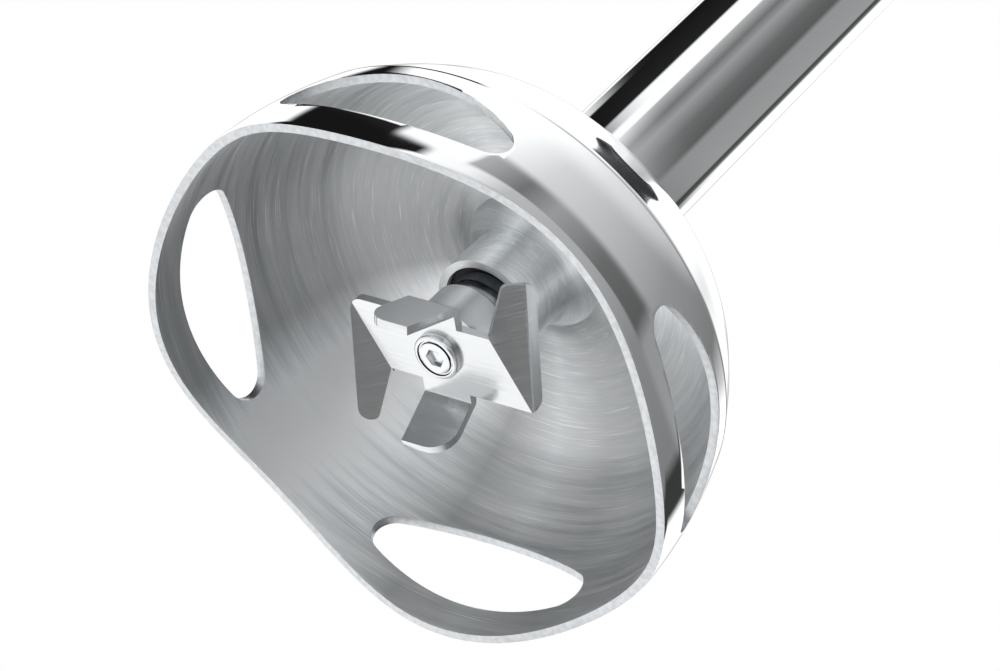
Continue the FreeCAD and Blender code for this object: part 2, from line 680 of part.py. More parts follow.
def shaft_clip():
    """Spring clip on the shaft above the upper bush, an open ring."""
    low = UPPER_BUSH_Z + UPPER_BUSH_H + SLIP
    clip = ring(CLIP_R, SHAFT_R, low, low + CLIP_H)
    return clip.cut(block(0, CLIP_R * 2, -CLIP_OPENING / 2, CLIP_OPENING / 2,
                          low - OVER, low + CLIP_H + OVER))


# ---- foot collar -----------------------------------------------------------------------------
def foot_collar():
    """Moulded collar that flares from the tube to the handle and takes the handle's spigot."""
    flare = [(COLLAR_NECK_R, COLLAR_Z + COLLAR_NECK_H),
             (COLLAR_NECK_R + COLLAR_THROAT_OUT, COLLAR_Z + COLLAR_THROAT_H),
             (COLLAR_R - COLLAR_LIP_IN, COLLAR_FLARE_Z - COLLAR_LIP_DROP), (COLLAR_R, COLLAR_FLARE_Z)]
    bore = TUBE_R + SEAT
    edges = lines([(bore, COLLAR_Z), (COLLAR_NECK_R, COLLAR_Z), flare[0]])
    edges.append(curve(flare, (0, 1), (0, 1)))
    edges += lines([flare[-1], (COLLAR_R, FOOT_TOP_Z), (CHAMBER_R, FOOT_TOP_Z),
                    (CHAMBER_R, RING_Z + RING_H), (RING_R, RING_Z + RING_H), (RING_R, RING_Z),
                    (CHAMBER_R, RING_Z), (CHAMBER_R, CHAMBER_Z), (COLLAR_BORE_R, CHAMBER_Z),
                    (COLLAR_BORE_R, TUBE_TOP_Z + 2 * ORING_WIRE_R),
                    (bore, TUBE_TOP_Z + 2 * ORING_WIRE_R), (bore, COLLAR_Z)])
    return turned(edges)


def latch_ring():
    """Steel ring in the chamber's groove that the release latches catch."""
    return ring(RING_R, CHAMBER_R, RING_Z, RING_Z + RING_H)


def tube_oring():
    """O-ring squeezed between the tube's end and the collar's shoulder."""
    middle = TUBE_BORE_R + TUBE_WALL / 2 - ORING_IN
    return Part.makeTorus(middle, ORING_WIRE_R, V(0, 0, TUBE_TOP_Z + ORING_WIRE_R), UP)


# ---- handle: sleeve, housing, grip, cap ------------------------------------------------------
HOUSING_LINE = [(SLEEVE_TOP_R + TRIM_STEP, HOUSING_Z), (GRIP_R - GRIP_LOW_IN, GRIP_Z - GRIP_LOW),
                (GRIP_R, GRIP_Z),
                (GRIP_R + GRIP_HIGH_OUT, GRIP_Z + GRIP_HIGH),
                (SHOULDER_OUT_R - SHOULDER_IN_R, HOUSING_TOP_Z - SHOULDER_DROP),
                (SHOULDER_OUT_R, HOUSING_TOP_Z)]


def housing_edge(offset, points=HOUSING_LINE):
    """Side line of the housing, moved outwards by an offset."""
    return curve([(r + offset, z) for r, z in points])


def housing_radius(z, offset=0.0):
    """Housing's outer radius at a height, moved outwards by an offset."""
    side = housing_edge(offset)
    level = Part.makeLine(V(0, 0, z), V(BELL_R * 2, 0, z))
    return side.distToShape(level)[1][0][0].x


def button_slot(width, height, z):
    """Hole for a button through the housing's front."""
    return rounded_slab(width + 2 * SLIP, height + 2 * SLIP, SHOULDER_OUT_R,
                        BUTTON_CORNER_R + SLIP, z, SHOULDER_OUT_R + BUTTON_PROUD + OVER)


def release_way(sign):
    """Space that a release button and its latch move in."""
    pad = block(RELEASE_WAY_R, SLEEVE_TOP_R + RELEASE_PROUD, -RELEASE_HALF - SLIP, RELEASE_HALF + SLIP,
                RELEASE_Z - RELEASE_HEIGHT / 2 - SLIP, RELEASE_Z + RELEASE_HEIGHT / 2 + SLIP)
    slot = block(SPIGOT_R - SPIGOT_WALL - TRAVEL - OVER, SPIGOT_R + OVER, -LATCH_HALF - SLIP,
                 LATCH_HALF + SLIP, LATCH_NOSE_Z - OVER, RELEASE_Z)
    way = pad.fuse(slot)
    if sign < 0:
        way.rotate(ORIGIN, UP, 180)
    return way


def sleeve_radius(z):
    """Outer radius of the sleeve's wall, which opens from the joint to the trim ring."""
    share = (z - HANDLE_Z) / (SLEEVE_TOP_Z - HANDLE_Z)
    return SLEEVE_R + (SLEEVE_TOP_R - SLEEVE_R) * share


def coupling_sleeve():
    """Lower end of the handle: spigot, floor, hub tube and outer wall in one moulding."""
    inner = SPIGOT_R - SPIGOT_WALL
    low = HANDLE_Z - SPIGOT_LENGTH
    spigot = ring(SPIGOT_R, inner, low, HANDLE_Z)
    floor = ring(SLEEVE_R, SPRING_SEAT_R - SPRING_TUBE_WALL, HANDLE_Z, HANDLE_Z + SLEEVE_FLOOR)
    hub = ring(SPRING_SEAT_R, SPRING_SEAT_R - SPRING_TUBE_WALL, HANDLE_Z, BASE_Z - SLIP)
    wall = turned(lines([(SLEEVE_R - SLEEVE_WALL, HANDLE_Z), (SLEEVE_R, HANDLE_Z),
                         (SLEEVE_TOP_R, SLEEVE_TOP_Z), (SLEEVE_TOP_R - SLEEVE_WALL, SLEEVE_TOP_Z),
                         (SLEEVE_R - SLEEVE_WALL, HANDLE_Z)]))
    rim = min(sleeve_radius(BASE_Z - LEDGE_H), sleeve_radius(BASE_Z)) - SLEEVE_WALL / 2
    ledge = ring(rim, rim - LEDGE_WIDTH, BASE_Z - LEDGE_H, BASE_Z)
    sleeve = floor.multiFuse([spigot, hub, wall, ledge])
    return sleeve.cut([release_way(1), release_way(-1)])


def trim_ring():
    """Polished steel band between the sleeve and the housing."""
    low = SLEEVE_TOP_Z
    band = turned(lines([(SLEEVE_TOP_R - SLEEVE_WALL, low), (SLEEVE_TOP_R + TRIM_PROUD - TRIM_STEP, low),
                         (SLEEVE_TOP_R + TRIM_PROUD, HOUSING_Z), (SLEEVE_TOP_R - SLEEVE_WALL, HOUSING_Z),
                         (SLEEVE_TOP_R - SLEEVE_WALL, low)]))
    return band


def housing_shell(back):
    """Half of the housing: the back half spans +Y, the front half -Y."""
    outer = housing_edge(0)
    inner = housing_edge(-HOUSING_WALL)
    top = HOUSING_LINE[-1]
    low = HOUSING_LINE[0]
    edges = [outer, inner,
             line(top, (top[0] - HOUSING_WALL, top[1])), line((low[0] - HOUSING_WALL, low[1]), low)]
    return turned(edges, 180, 0 if back else 180)


def bosses(side):
    """Screw bosses at the sides of the housing: side is +1 for the back, -1 for the front."""
    shapes = []
    for x in (-BOSS_X, BOSS_X):
        for z in SCREW_Z:
            reach = math.sqrt(housing_radius(z, -HOUSING_WALL / 2) ** 2 - (abs(x) - BOSS_R) ** 2)
            shapes.append(rod(BOSS_R, V(x, 0, z), V(x, side * reach, z)))
    return shapes


def housing_solid(offset):
    """The housing's form as one solid, moved outwards by an offset."""
    low = HOUSING_LINE[0]
    top = HOUSING_LINE[-1]
    return turned([housing_edge(offset)] + lines(
        [(top[0] + offset, top[1]), (0, top[1]), (0, low[1]), (low[0] + offset, low[1])]))


def inside_housing(shape):
    """Keep the part of a shape that ends within the housing's wall."""
    return shape.common(housing_solid(-HOUSING_WALL / 2))


def housing_front():
    shell = housing_shell(False)
    shell = shell.multiFuse([inside_housing(b) for b in bosses(-1)])
    cuts = [button_slot(BUTTON_WIDTH, ON_HEIGHT, ON_Z),
            button_slot(BUTTON_WIDTH, TURBO_HEIGHT, TURBO_Z)]
    for x in (-BOSS_X, BOSS_X):
        for z in SCREW_Z:
            cuts.append(rod(SCREW_R + SCREW_BITE, V(x, OVER, z),
                            V(x, 2 * OVER - BOSS_LENGTH, z)))
    return shell.cut(cuts)


def housing_back():
    shell = housing_shell(True)
    shell = shell.multiFuse([inside_housing(b) for b in bosses(1)])
    cuts = [rod(GLAND_NECK_R + SEAT, V(0, GLAND_INNER - OVER, GLAND_Z), V(0, BELL_R, GLAND_Z))]
    for x in (-BOSS_X, BOSS_X):
        for z in SCREW_Z:
            cuts.append(rod(SCREW_R + SCREW_PAST, V(x, -OVER, z), V(x, BELL_R, z)))
            cuts.append(rod(SCREW_HEAD + SLIP, V(x, SCREW_HEAD_DEPTH, z), V(x, BELL_R, z)))
    return shell.cut(cuts)


def housing_screws():
    """Four self-tapping screws, driven from the back along -Y."""
    screws = []
    for x in (-BOSS_X, BOSS_X):
        for z in SCREW_Z:
            shank = rod(SCREW_R, V(x, SCREW_HEAD_DEPTH, z), V(x, -BOSS_LENGTH + SCREW_TIP, z))
            head = rod(SCREW_HEAD, V(x, SCREW_HEAD_DEPTH, z), V(x, SCREW_HEAD_DEPTH + SCREW_HEAD_T, z))
            seat = SCREW_HEAD_DEPTH + SCREW_HEAD_T - SCREW_RECESS
            recess = rod(SCREW_RECESS_R, V(x, seat, z), V(x, SCREW_HEAD_DEPTH + 2 * OVER, z))
            screws.append(head.fuse(shank).cut(recess))
    return Part.makeCompound(screws)


def soft_grip():
    """Rubber pad moulded over the back of the housing, with thin rounded ends."""
    middle = (PAD_LOW_Z + PAD_HIGH_Z) / 2
    heights = [PAD_LOW_Z + PAD_EDGE, middle - PAD_BODY, middle, middle + PAD_BODY,
               PAD_HIGH_Z - PAD_EDGE]
    face = [(housing_radius(z) + PAD_T, z) for z in heights]
    face[0] = (face[0][0] - PAD_THIN, face[0][1])
    face[-1] = (face[-1][0] - PAD_THIN, face[-1][1])
    inside = GRIP_R - HOUSING_WALL
    edges = [curve(face)] + lines([face[-1], (housing_radius(PAD_HIGH_Z) - PAD_BITE, PAD_HIGH_Z),
                                   (inside, PAD_HIGH_Z), (inside, PAD_LOW_Z),
                                   (housing_radius(PAD_LOW_Z) - PAD_BITE, PAD_LOW_Z), face[0]])
    pad = turned(edges, PAD_ANGLE, 90 - PAD_ANGLE / 2)
    return pad.cut(housing_solid(0))


def top_cap():
    """Cap over the housing, with a well for the dial."""
    top = SHOULDER_OUT_R
    wall = HOUSING_WALL
    well = DIAL_R + DIAL_GAP
    outer = [(top, HOUSING_TOP_Z), (top, CAP_TOP_Z - CAP_EDGE_R)]
    corner = Part.Arc(V(top, 0, CAP_TOP_Z - CAP_EDGE_R),
                      V(top - CAP_EDGE_R * (1 - math.sqrt(0.5)), 0,
                        CAP_TOP_Z - CAP_EDGE_R * (1 - math.sqrt(0.5))),
                      V(top - CAP_EDGE_R, 0, CAP_TOP_Z)).toShape()
    floor = CAP_TOP_Z - WELL_DEPTH
    hole = DIAL_SHAFT_R + DIAL_SHAFT_GAP
    inner = lines([(top - CAP_EDGE_R, CAP_TOP_Z), (well, CAP_TOP_Z), (well, floor),
                   (hole, floor), (hole, floor - wall), (top - CAP_EDGE_R, floor - wall),
                   (top - wall, floor - wall - CAP_EDGE_R / 2), (top - wall, HOUSING_TOP_Z),
                   (top, HOUSING_TOP_Z)])
    return turned([line(outer[0], outer[1]), corner] + inner)


def cord_gland():
    """Cord inlet at the back: a flanged bush with a through bore."""
    def back(y):
        return V(0, y, GLAND_Z)
    flange = rod(GLAND_R, back(GLAND_REACH - GLAND_FLANGE), back(GLAND_REACH))
    neck = rod(GLAND_NECK_R, back(GLAND_INNER), back(GLAND_REACH - GLAND_FLANGE))
    bore = rod(GLAND_BORE_R, back(GLAND_INNER - OVER), back(GLAND_REACH + OVER))
    flange = flange.makeFillet(GLAND_EDGE_R, [e for e in flange.Edges if isinstance(e.Curve, Part.Circle)
                                     and abs(e.CenterOfMass.y - GLAND_REACH) < 0.01])
    return flange.fuse(neck).cut(bore)


# ---- motor -------------------------------------------------------------------------------------
def motor_base():
    """Moulded plate on the sleeve's ledge that carries the lower bearing."""
    bore = min(sleeve_radius(BASE_Z), sleeve_radius(BASE_Z + BASE_H)) - SLEEVE_WALL
    plate = disc(bore - SLIP, BASE_Z, BASE_Z + BASE_H)
    seat = disc(BEARING_R + SEAT, BASE_Z + SEAT_FLOOR, BASE_Z + BASE_H + OVER)
    vent = block(VENT_NEAR, VENT_FAR, -VENT_HALF, VENT_HALF,
                 BASE_Z - OVER, BASE_Z + BASE_H + OVER)
    vents = turned_copies(vent, VENTS, 180.0 / VENTS)
    return plate.cut([seat, disc(SHAFT_R + SHAFT_GAP, BASE_Z - OVER, BASE_Z + 2 * SEAT_FLOOR)] + vents)


def bearing(low):
    """Ball bearing seen as its outer race, shield and inner race."""
    race = ring(BEARING_R, SHAFT_HOLE_R, low, low + BEARING_H)
    groove = ring(BEARING_R - RACE_T, SHAFT_R + RACE_T, low + BEARING_H - SHIELD_DEPTH,
                  low + BEARING_H + OVER)
    lower_groove = ring(BEARING_R - RACE_T, SHAFT_R + RACE_T, low - OVER, low + SHIELD_DEPTH)
    return race.cut([groove, lower_groove])


def stator_core():
    """Stack of laminations: an outer ring with two poles facing the armature."""
    bore = ARMATURE_R + AIR_GAP
    top = STATOR_Z + STATOR_H
    core = disc(STATOR_R, STATOR_Z, top).cut(disc(bore, STATOR_Z - OVER, top + OVER))
    for middle in (0, 180):
        pocket = Part.makeCylinder(STATOR_R - STATOR_YOKE, STATOR_H + 2 * OVER,
                                   V(0, 0, STATOR_Z - OVER), UP, POCKET_ANGLE)
        pocket = pocket.cut(disc(bore - OVER, STATOR_Z - 2 * OVER, top + 2 * OVER))
        pocket.rotate(ORIGIN, UP, middle - POCKET_ANGLE / 2)
        core = core.cut(pocket)
    return core


def field_coils():
    """Two wound coils that fill the stator's side pockets and stand out at both ends."""
    bore = ARMATURE_R + AIR_GAP + COIL_TIP_GAP
    low = STATOR_Z - COIL_OVERHANG
    height = STATOR_H + 2 * COIL_OVERHANG
    coils = []
    for middle in (0, 180):
        coil = Part.makeCylinder(STATOR_R - STATOR_YOKE - COIL_GAP, height, V(0, 0, low), UP,
                                 COIL_ANGLE)
        coil = coil.cut(disc(bore, low - OVER, low + height + OVER))
        coil.rotate(ORIGIN, UP, middle - COIL_ANGLE / 2)
        coils.append(coil)
    return Part.makeCompound(coils)


def motor_shaft():
    return disc(SHAFT_R, HANDLE_Z - SHAFT_DROP, BRACKET_Z + BRACKET_H + SHAFT_END)


def armature_core():
    """Slotted laminations on the motor shaft."""
    top = STATOR_Z + STATOR_H
    core = ring(ARMATURE_R, SHAFT_R, STATOR_Z, top)
    slot = block(ARMATURE_R - SLOT_DEPTH, ARMATURE_R + OVER, -SLOT_HALF, SLOT_HALF,
                 STATOR_Z - OVER, top + OVER)
    return core.cut(turned_copies(slot, ARMATURE_SLOTS))


def armature_windings():
    """Copper end turns at both ends of the armature."""
    turns = []
    for low, high in ((STATOR_Z - WINDING_H, STATOR_Z),
                      (STATOR_Z + STATOR_H, STATOR_Z + STATOR_H + WINDING_H)):
        turns.append(ring(ARMATURE_R - WINDING_IN, SHAFT_R, low, high))
    return Part.makeCompound(turns)


def commutator():
    top = COMMUTATOR_Z + COMMUTATOR_H
    drum = ring(COMMUTATOR_R, SHAFT_R, COMMUTATOR_Z, top)
    gap = block(COMMUTATOR_R - BAR_GAP_DEPTH, COMMUTATOR_R + OVER, -BAR_GAP / 2, BAR_GAP / 2,
                COMMUTATOR_Z - OVER, top + OVER)
    return drum.cut(turned_copies(gap, ARMATURE_SLOTS * 2))


def cooling_fan():
    """Radial fan on the motor shaft."""
    plate = ring(FAN_R, SHAFT_R, FAN_Z, FAN_Z + FAN_PLATE)
    hub = ring(SHAFT_R + FAN_HUB, SHAFT_R, FAN_Z, FAN_Z + FAN_H)
    vane = block(SHAFT_R + FAN_HUB / 2, FAN_R - VANE_IN, -VANE_T / 2, VANE_T / 2,
                 FAN_Z + FAN_PLATE / 2, FAN_Z + FAN_H - VANE_DROP)
    return plate.multiFuse([hub] + turned_copies(vane, FAN_BLADES))


def drive_dog():
    """Hexagonal driver on the motor shaft's lower end."""
    flats = SOCKET_FLATS - 2 * HEX_CLEARANCE
    low = SOCKET_TOP_Z - HEX_DEPTH + DOG_TIP
    dog = hexagon(flats, low, HANDLE_Z)
    boss = disc(SPRING_SEAT_R - DOG_BOSS_GAP, HANDLE_Z, BASE_Z - DOG_BOSS_TOP)
    return dog.fuse(boss).cut(disc(SHAFT_R, HANDLE_Z - SHAFT_DROP, BASE_Z))


def upper_bracket():
    """Bridge across the housing that carries the upper bearing."""
    radius = housing_radius(BRACKET_Z, -HOUSING_WALL) - SLIP
    top = BRACKET_Z + BRACKET_H
    plate = disc(radius, BRACKET_Z, top)
    plate = plate.cut(disc(BEARING_R + SEAT, BRACKET_Z - OVER, top + OVER))
    sides = [block(BRACKET_HALF, BELL_R, -BELL_R, BELL_R, BRACKET_Z - OVER, top + OVER),
             block(-BELL_R, -BRACKET_HALF, -BELL_R, BELL_R, BRACKET_Z - OVER, top + OVER)]
    return plate.cut(sides)


def brush_holders():
    """Brass boxes that guide the carbon brushes onto the commutator, at +Y and -Y."""
    low = COMMUTATOR_Z + BRUSH_RISE
    outer = BRUSH_HALF + BRUSH_BOX_T
    box = block(-outer, outer, COMMUTATOR_R + BRUSH_NEAR, STATOR_R - OVER, low, low + 2 * outer)
    hole = block(-BRUSH_HALF, BRUSH_HALF, COMMUTATOR_R + OVER, STATOR_R - 2 * OVER,
                 low + BRUSH_BOX_T, low + BRUSH_BOX_T + 2 * BRUSH_HALF)
    return Part.makeCompound(turned_copies(box.cut(hole), 2))


def carbon_brushes():
    low = COMMUTATOR_Z + BRUSH_RISE + BRUSH_BOX_T
    brush = block(-BRUSH_HALF, BRUSH_HALF, COMMUTATOR_R + BRUSH_GAP,
                  STATOR_R - BRUSH_END, low, low + 2 * BRUSH_HALF)
    brush = brush.cut(disc(COMMUTATOR_R + BRUSH_GAP, low - OVER, low + COMMUTATOR_H))
    return Part.makeCompound(turned_copies(brush, 2))


# ---- controls -----------------------------------------------------------------------------------
def button(height, z):
    """Push button in the front: a crowned cap, a retaining flange and a stem to its switch."""
    face = housing_radius(z) + BUTTON_PROUD
    flange_face = math.sqrt(housing_radius(z - height / 2, -HOUSING_WALL) ** 2
                            - (BUTTON_WIDTH / 2 + FLANGE_LIP) ** 2) - SLIP
    cap = rounded_slab(BUTTON_WIDTH, height, face - flange_face + FLANGE_T,
                       BUTTON_CORNER_R, z, face)
    crown = disc(face - BUTTON_CROWN, z - height, z + height)
    cap = cap.common(crown)
    rim = [e for e in cap.Edges if e.CenterOfMass.y < -face + BUTTON_RIM
           and abs(e.tangentAt(e.FirstParameter).y) < 0.9]
    cap = cap.makeFillet(BUTTON_EDGE_R, rim)
    flange = rounded_slab(BUTTON_WIDTH + 2 * FLANGE_LIP, height + 2 * FLANGE_LIP, FLANGE_T,
                          BUTTON_CORNER_R, z,
                          flange_face)
    stem = rod(STEM_R, V(0, -flange_face + FLANGE_T / 2, z), V(0, -STEM_END, z))
    return cap.multiFuse([flange, stem]), flange_face - FLANGE_T


def button_spring(z, seat):
    """Spring round a button's stem, between the switch and the flange."""
    return coil_spring(STEM_R + COIL_PAST, seat - SWITCH_FACE - SPRING_PLAY,
                       V(0, -SWITCH_FACE, z), V(0, -1, 0))


def micro_switch(z):
    """Switch on the board, with its own small plunger."""
    half = SWITCH_SIDE / 2
    body = block(-half, half, -SWITCH_FACE, -BOARD_FACE, z - half, z + half)
    plunger = rod(PLUNGER_R, V(0, -SWITCH_FACE, z), V(0, -SWITCH_FACE - PLUNGER_H, z))
    return body.fuse(plunger)


def board_part(size, y, rise):
    """A block behind the board: its width, depth and height, its front face and its height."""
    width, depth, height = size
    low = BOARD_LOW_Z + rise
    return block(-width / 2, width / 2, y, y + depth, low, low + height)


def control_board():
    """Circuit board, upright behind the switches, with a row of parts on its back."""
    board = block(-BOARD_HALF, BOARD_HALF, -BOARD_FACE, -BOARD_FACE + BOARD_T,
                  BOARD_LOW_Z, BOARD_HIGH_Z)
    back = -BOARD_FACE + BOARD_T
    triac = board_part(TRIAC_SIZE, back, TRIAC_RISE)
    chip = board_part(CHIP_SIZE, back, CHIP_RISE)
    return board.multiFuse([triac, chip])


def suppressor():
    """Interference capacitor behind the board."""
    back = -BOARD_FACE + BOARD_T
    box = board_part(CAPACITOR_SIZE, back + CAPACITOR_GAP, CAPACITOR_RISE)
    return box.makeFillet(CAPACITOR_EDGE_R, box.Edges)


def cord_clamp():
    """Bridge that grips the cord inside the gland."""
    base = block(-CLAMP_HALF, CLAMP_HALF, CLAMP_Y, CLAMP_Y + CLAMP_T,
                 GLAND_Z - CLAMP_RISE, GLAND_Z + CLAMP_RISE)
    arch = ring(CLAMP_ARCH_R, GLAND_BORE_R, 0, CLAMP_ARCH_LENGTH)
    arch.rotate(ORIGIN, V(1, 0, 0), -90)
    arch.translate(V(0, CLAMP_Y - OVER, GLAND_Z))
    hole = rod(GLAND_BORE_R, V(0, CLAMP_Y - 2 * OVER, GLAND_Z), V(0, GLAND_INNER, GLAND_Z))
    return base.fuse(arch).cut(hole)


def speed_pot():
    """Potentiometer under the cap, turned by the dial's shaft."""
    high = CAP_TOP_Z - WELL_DEPTH - HOUSING_WALL
    body = disc(POT_R, high - POT_H, high)
    return body.cut(disc(DIAL_SHAFT_R + RUNNING, high - POT_BORE, high + OVER))


def speed_dial():
    """Ribbed knob with a pointer groove and a shaft down into the potentiometer."""
    low = CAP_TOP_Z - WELL_DEPTH + SLIP
    high = low + DIAL_H
    knob = disc(DIAL_R, low, high)
    knob = knob.makeFillet(DIAL_EDGE_R, [e for e in knob.Edges if isinstance(e.Curve, Part.Circle)
                                 and abs(e.CenterOfMass.z - high) < 0.01])
    flute = Part.makeCylinder(FLUTE_R, DIAL_H, V(DIAL_R + FLUTE_OUT, 0, low - OVER), UP)
    knob = knob.cut(turned_copies(flute, DIAL_RIBS, 180.0 / DIAL_RIBS))
    knob = knob.cut(block(-POINTER_HALF, POINTER_HALF, -DIAL_R - OVER, -DIAL_R / 2,
                          high - POINTER_DEPTH, high + OVER))
    knob = knob.cut(ring(DIAL_R - DIAL_WALL, DIAL_HUB_R, low - OVER, low + DIAL_H / 2))
    shaft = disc(DIAL_SHAFT_R, low - DIAL_SHAFT_REACH, low + DIAL_H / 2)
    return knob.fuse(shaft)


def release_button(sign):
    """Side button with a latch arm that reaches down into the foot collar."""
    reach = SLEEVE_R + RELEASE_PROUD
    seat = SPRING_SEAT_R + RELEASE_SPRING
    pad = block(seat, reach, -RELEASE_HALF, RELEASE_HALF, RELEASE_Z - RELEASE_HEIGHT / 2,
                RELEASE_Z + RELEASE_HEIGHT / 2)
    pad = pad.makeFillet(RELEASE_EDGE_R, [e for e in pad.Edges if e.CenterOfMass.x > reach - 0.01])
    outer = math.sqrt(SPIGOT_R ** 2 - LATCH_HALF ** 2)
    inner = outer - LATCH_T
    arm = block(inner, outer - LATCH_NOSE, -LATCH_HALF, LATCH_HALF, LATCH_NOSE_Z, RELEASE_Z)
    nose = block(inner, outer, -LATCH_HALF, LATCH_HALF, LATCH_NOSE_Z, LATCH_NOSE_Z + LATCH_NOSE_H)
    catch = pad.multiFuse([arm, nose])
    if sign < 0:
        catch.rotate(ORIGIN, UP, 180)
    return catch


def release_spring(sign):
    return coil_spring(RELEASE_COIL_R, RELEASE_SPRING - SPRING_PLAY,
                       V(sign * SPRING_SEAT_R, 0, RELEASE_Z), V(sign, 0, 0))


def main():
    os.makedirs("parts", exist_ok=True)
    save("bell_guard", bell_guard())
    save("foot_tube", foot_tube())
    save("lower_bush", lower_bush())
    save("shaft_seal", shaft_seal())
    save("upper_bush", upper_bush())
    save("thrust_washer", thrust_washer())
    save("blade", blade())
    save("blade_hub", blade_hub())
    save("blade_screw", blade_screw())
    save("drive_shaft", drive_shaft())
    save("drive_socket", drive_socket())
    save("shaft_clip", shaft_clip())
    save("foot_collar", foot_collar())
    save("latch_ring", latch_ring())
    save("tube_oring", tube_oring())
    save("coupling_sleeve", coupling_sleeve())
    save("trim_ring", trim_ring())
    save("housing_front", housing_front())
    save("housing_back", housing_back())
    save("housing_screws", housing_screws())
    save("soft_grip", soft_grip())
    save("top_cap", top_cap())
    save("cord_gland", cord_gland())
    save("cord_clamp", cord_clamp())
    save("motor_base", motor_base())
    save("lower_bearing", bearing(BASE_Z + SEAT_FLOOR))
    save("upper_bearing", bearing(BRACKET_Z - SEAT_FLOOR))
    save("upper_bracket", upper_bracket())
    save("stator_core", stator_core())
    save("field_coils", field_coils())
    save("motor_shaft", motor_shaft())
    save("armature_core", armature_core())
    save("armature_windings", armature_windings())
    save("commutator", commutator())
    save("cooling_fan", cooling_fan())
    save("drive_dog", drive_dog())
    save("brush_holders", brush_holders())
    save("carbon_brushes", carbon_brushes())
    for name, height, z in (("on", ON_HEIGHT, ON_Z), ("turbo", TURBO_HEIGHT, TURBO_Z)):
        shape, seat = button(height, z)
        save(name + "_button", shape)
        save(name + "_spring", button_spring(z, seat))
        save(name + "_switch", micro_switch(z))
    save("control_board", control_board())
    save("suppressor", suppressor())
    save("speed_pot", speed_pot())
    save("speed_dial", speed_dial())
    for name, sign in (("right", 1), ("left", -1)):
        save("release_button_" + name, release_button(sign))
        save("release_spring_" + name, release_spring(sign))


main()
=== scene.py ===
import json
import math

import bmesh
import bpy
from bpy.props import FloatProperty, PointerProperty
from mathutils import Matrix, Vector
from mathutils.geometry import interpolate_bezier


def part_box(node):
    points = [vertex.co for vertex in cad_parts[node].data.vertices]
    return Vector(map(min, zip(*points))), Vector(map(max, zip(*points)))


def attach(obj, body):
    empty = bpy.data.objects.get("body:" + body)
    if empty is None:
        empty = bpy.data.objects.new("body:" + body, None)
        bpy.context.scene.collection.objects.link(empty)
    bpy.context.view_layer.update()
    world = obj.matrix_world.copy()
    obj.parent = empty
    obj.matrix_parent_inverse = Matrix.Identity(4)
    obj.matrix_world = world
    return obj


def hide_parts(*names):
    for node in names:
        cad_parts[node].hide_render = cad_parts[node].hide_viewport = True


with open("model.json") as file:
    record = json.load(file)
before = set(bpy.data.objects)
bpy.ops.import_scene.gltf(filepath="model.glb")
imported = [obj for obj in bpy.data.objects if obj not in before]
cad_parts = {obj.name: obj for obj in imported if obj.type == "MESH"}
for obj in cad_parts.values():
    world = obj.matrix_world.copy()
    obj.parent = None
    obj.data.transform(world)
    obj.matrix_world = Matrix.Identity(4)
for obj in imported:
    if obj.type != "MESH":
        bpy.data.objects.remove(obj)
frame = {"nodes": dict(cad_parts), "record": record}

bl_info = {
    "name": "Immersion Blender",
    "version": (1, 0, 0),
    "blender": (4, 5, 0),
    "location": "View3D > Sidebar > Blender",
    "description": "Builds the looks of a stick blender round its engineering model",
    "category": "Object",
}

MM = 0.001
TURN = 2 * math.pi
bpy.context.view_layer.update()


# ---- small helpers ---------------------------------------------------------------------------
def linear(colour):
    """An sRGB hex colour as the linear colour that shaders use."""
    parts = [int(colour[k:k + 2], 16) / 255 for k in (1, 3, 5)]
    return [p / 12.92 if p <= 0.04045 else ((p + 0.055) / 1.055) ** 2.4 for p in parts] + [1.0]


def node(tree, kind, inputs=None, stops=None, **settings):
    """Add a node with its settings, input values or links, and a ramp's colour stops."""
    added = tree.nodes.new(kind)
    for key, value in settings.items():
        setattr(added, key, value)
    for key, value in (inputs or {}).items():
        if isinstance(value, bpy.types.NodeSocket):
            tree.links.new(value, added.inputs[key])
        else:
            added.inputs[key].default_value = value
    if stops:
        ramp = added.color_ramp
        while len(ramp.elements) < len(stops):
            ramp.elements.new(1.0)
        for element, (place, colour) in zip(ramp.elements, stops):
            element.position = place
            element.color = colour
    return added


def whole_turn(tree, angle):
    """An arc tangent's result, from -180 to 180 degrees, as a share from 0 to 1."""
    return node(tree, "ShaderNodeMapRange", {"Value": angle.outputs[0], "From Min": -math.pi,
                                             "From Max": math.pi}).outputs["Result"]


def ring_ramp(tree, factor, levels):
    """Brightness round the horizon, from pairs of degrees and level."""
    stops = [((degrees + 180) / 360, grey(level)) for degrees, level in levels]
    return node(tree, "ShaderNodeValToRGB", {"Fac": factor}, stops=stops).outputs["Color"]


def surface(name, inputs):
    """A new material with one principled shader. Returns the material, its tree and the shader."""
    material = bpy.data.materials.new(name)
    material.use_nodes = True
    tree = material.node_tree
    tree.nodes.clear()
    shader = node(tree, "ShaderNodeBsdfPrincipled", inputs)
    node(tree, "ShaderNodeOutputMaterial", {"Surface": shader.outputs["BSDF"]})
    return material, tree, shader


def grey(level):
    return (level, level, level, 1.0)


def at(radius, height):
    """Point of a lathe outline, in millimetres, in the XZ plane."""
    return Vector((radius, 0, height))


def flow(points, steps):
    """Smooth line through points, as a designer's spline would draw it."""
    line = [points[0]]
    count = len(points)
    for k in range(count - 1):
        before = points[k - 1] if k else points[k] * 2 - points[k + 1]
        after = points[k + 2] if k + 2 < count else points[k + 1] * 2 - points[k]
        span = (points[k + 1] - points[k]).length
        start = (points[k + 1] - before).normalized() * span / 3
        end = (after - points[k]).normalized() * span / 3
        line += interpolate_bezier(points[k], points[k] + start, points[k + 1] - end,
                                   points[k + 1], steps + 1)[1:]
    return line


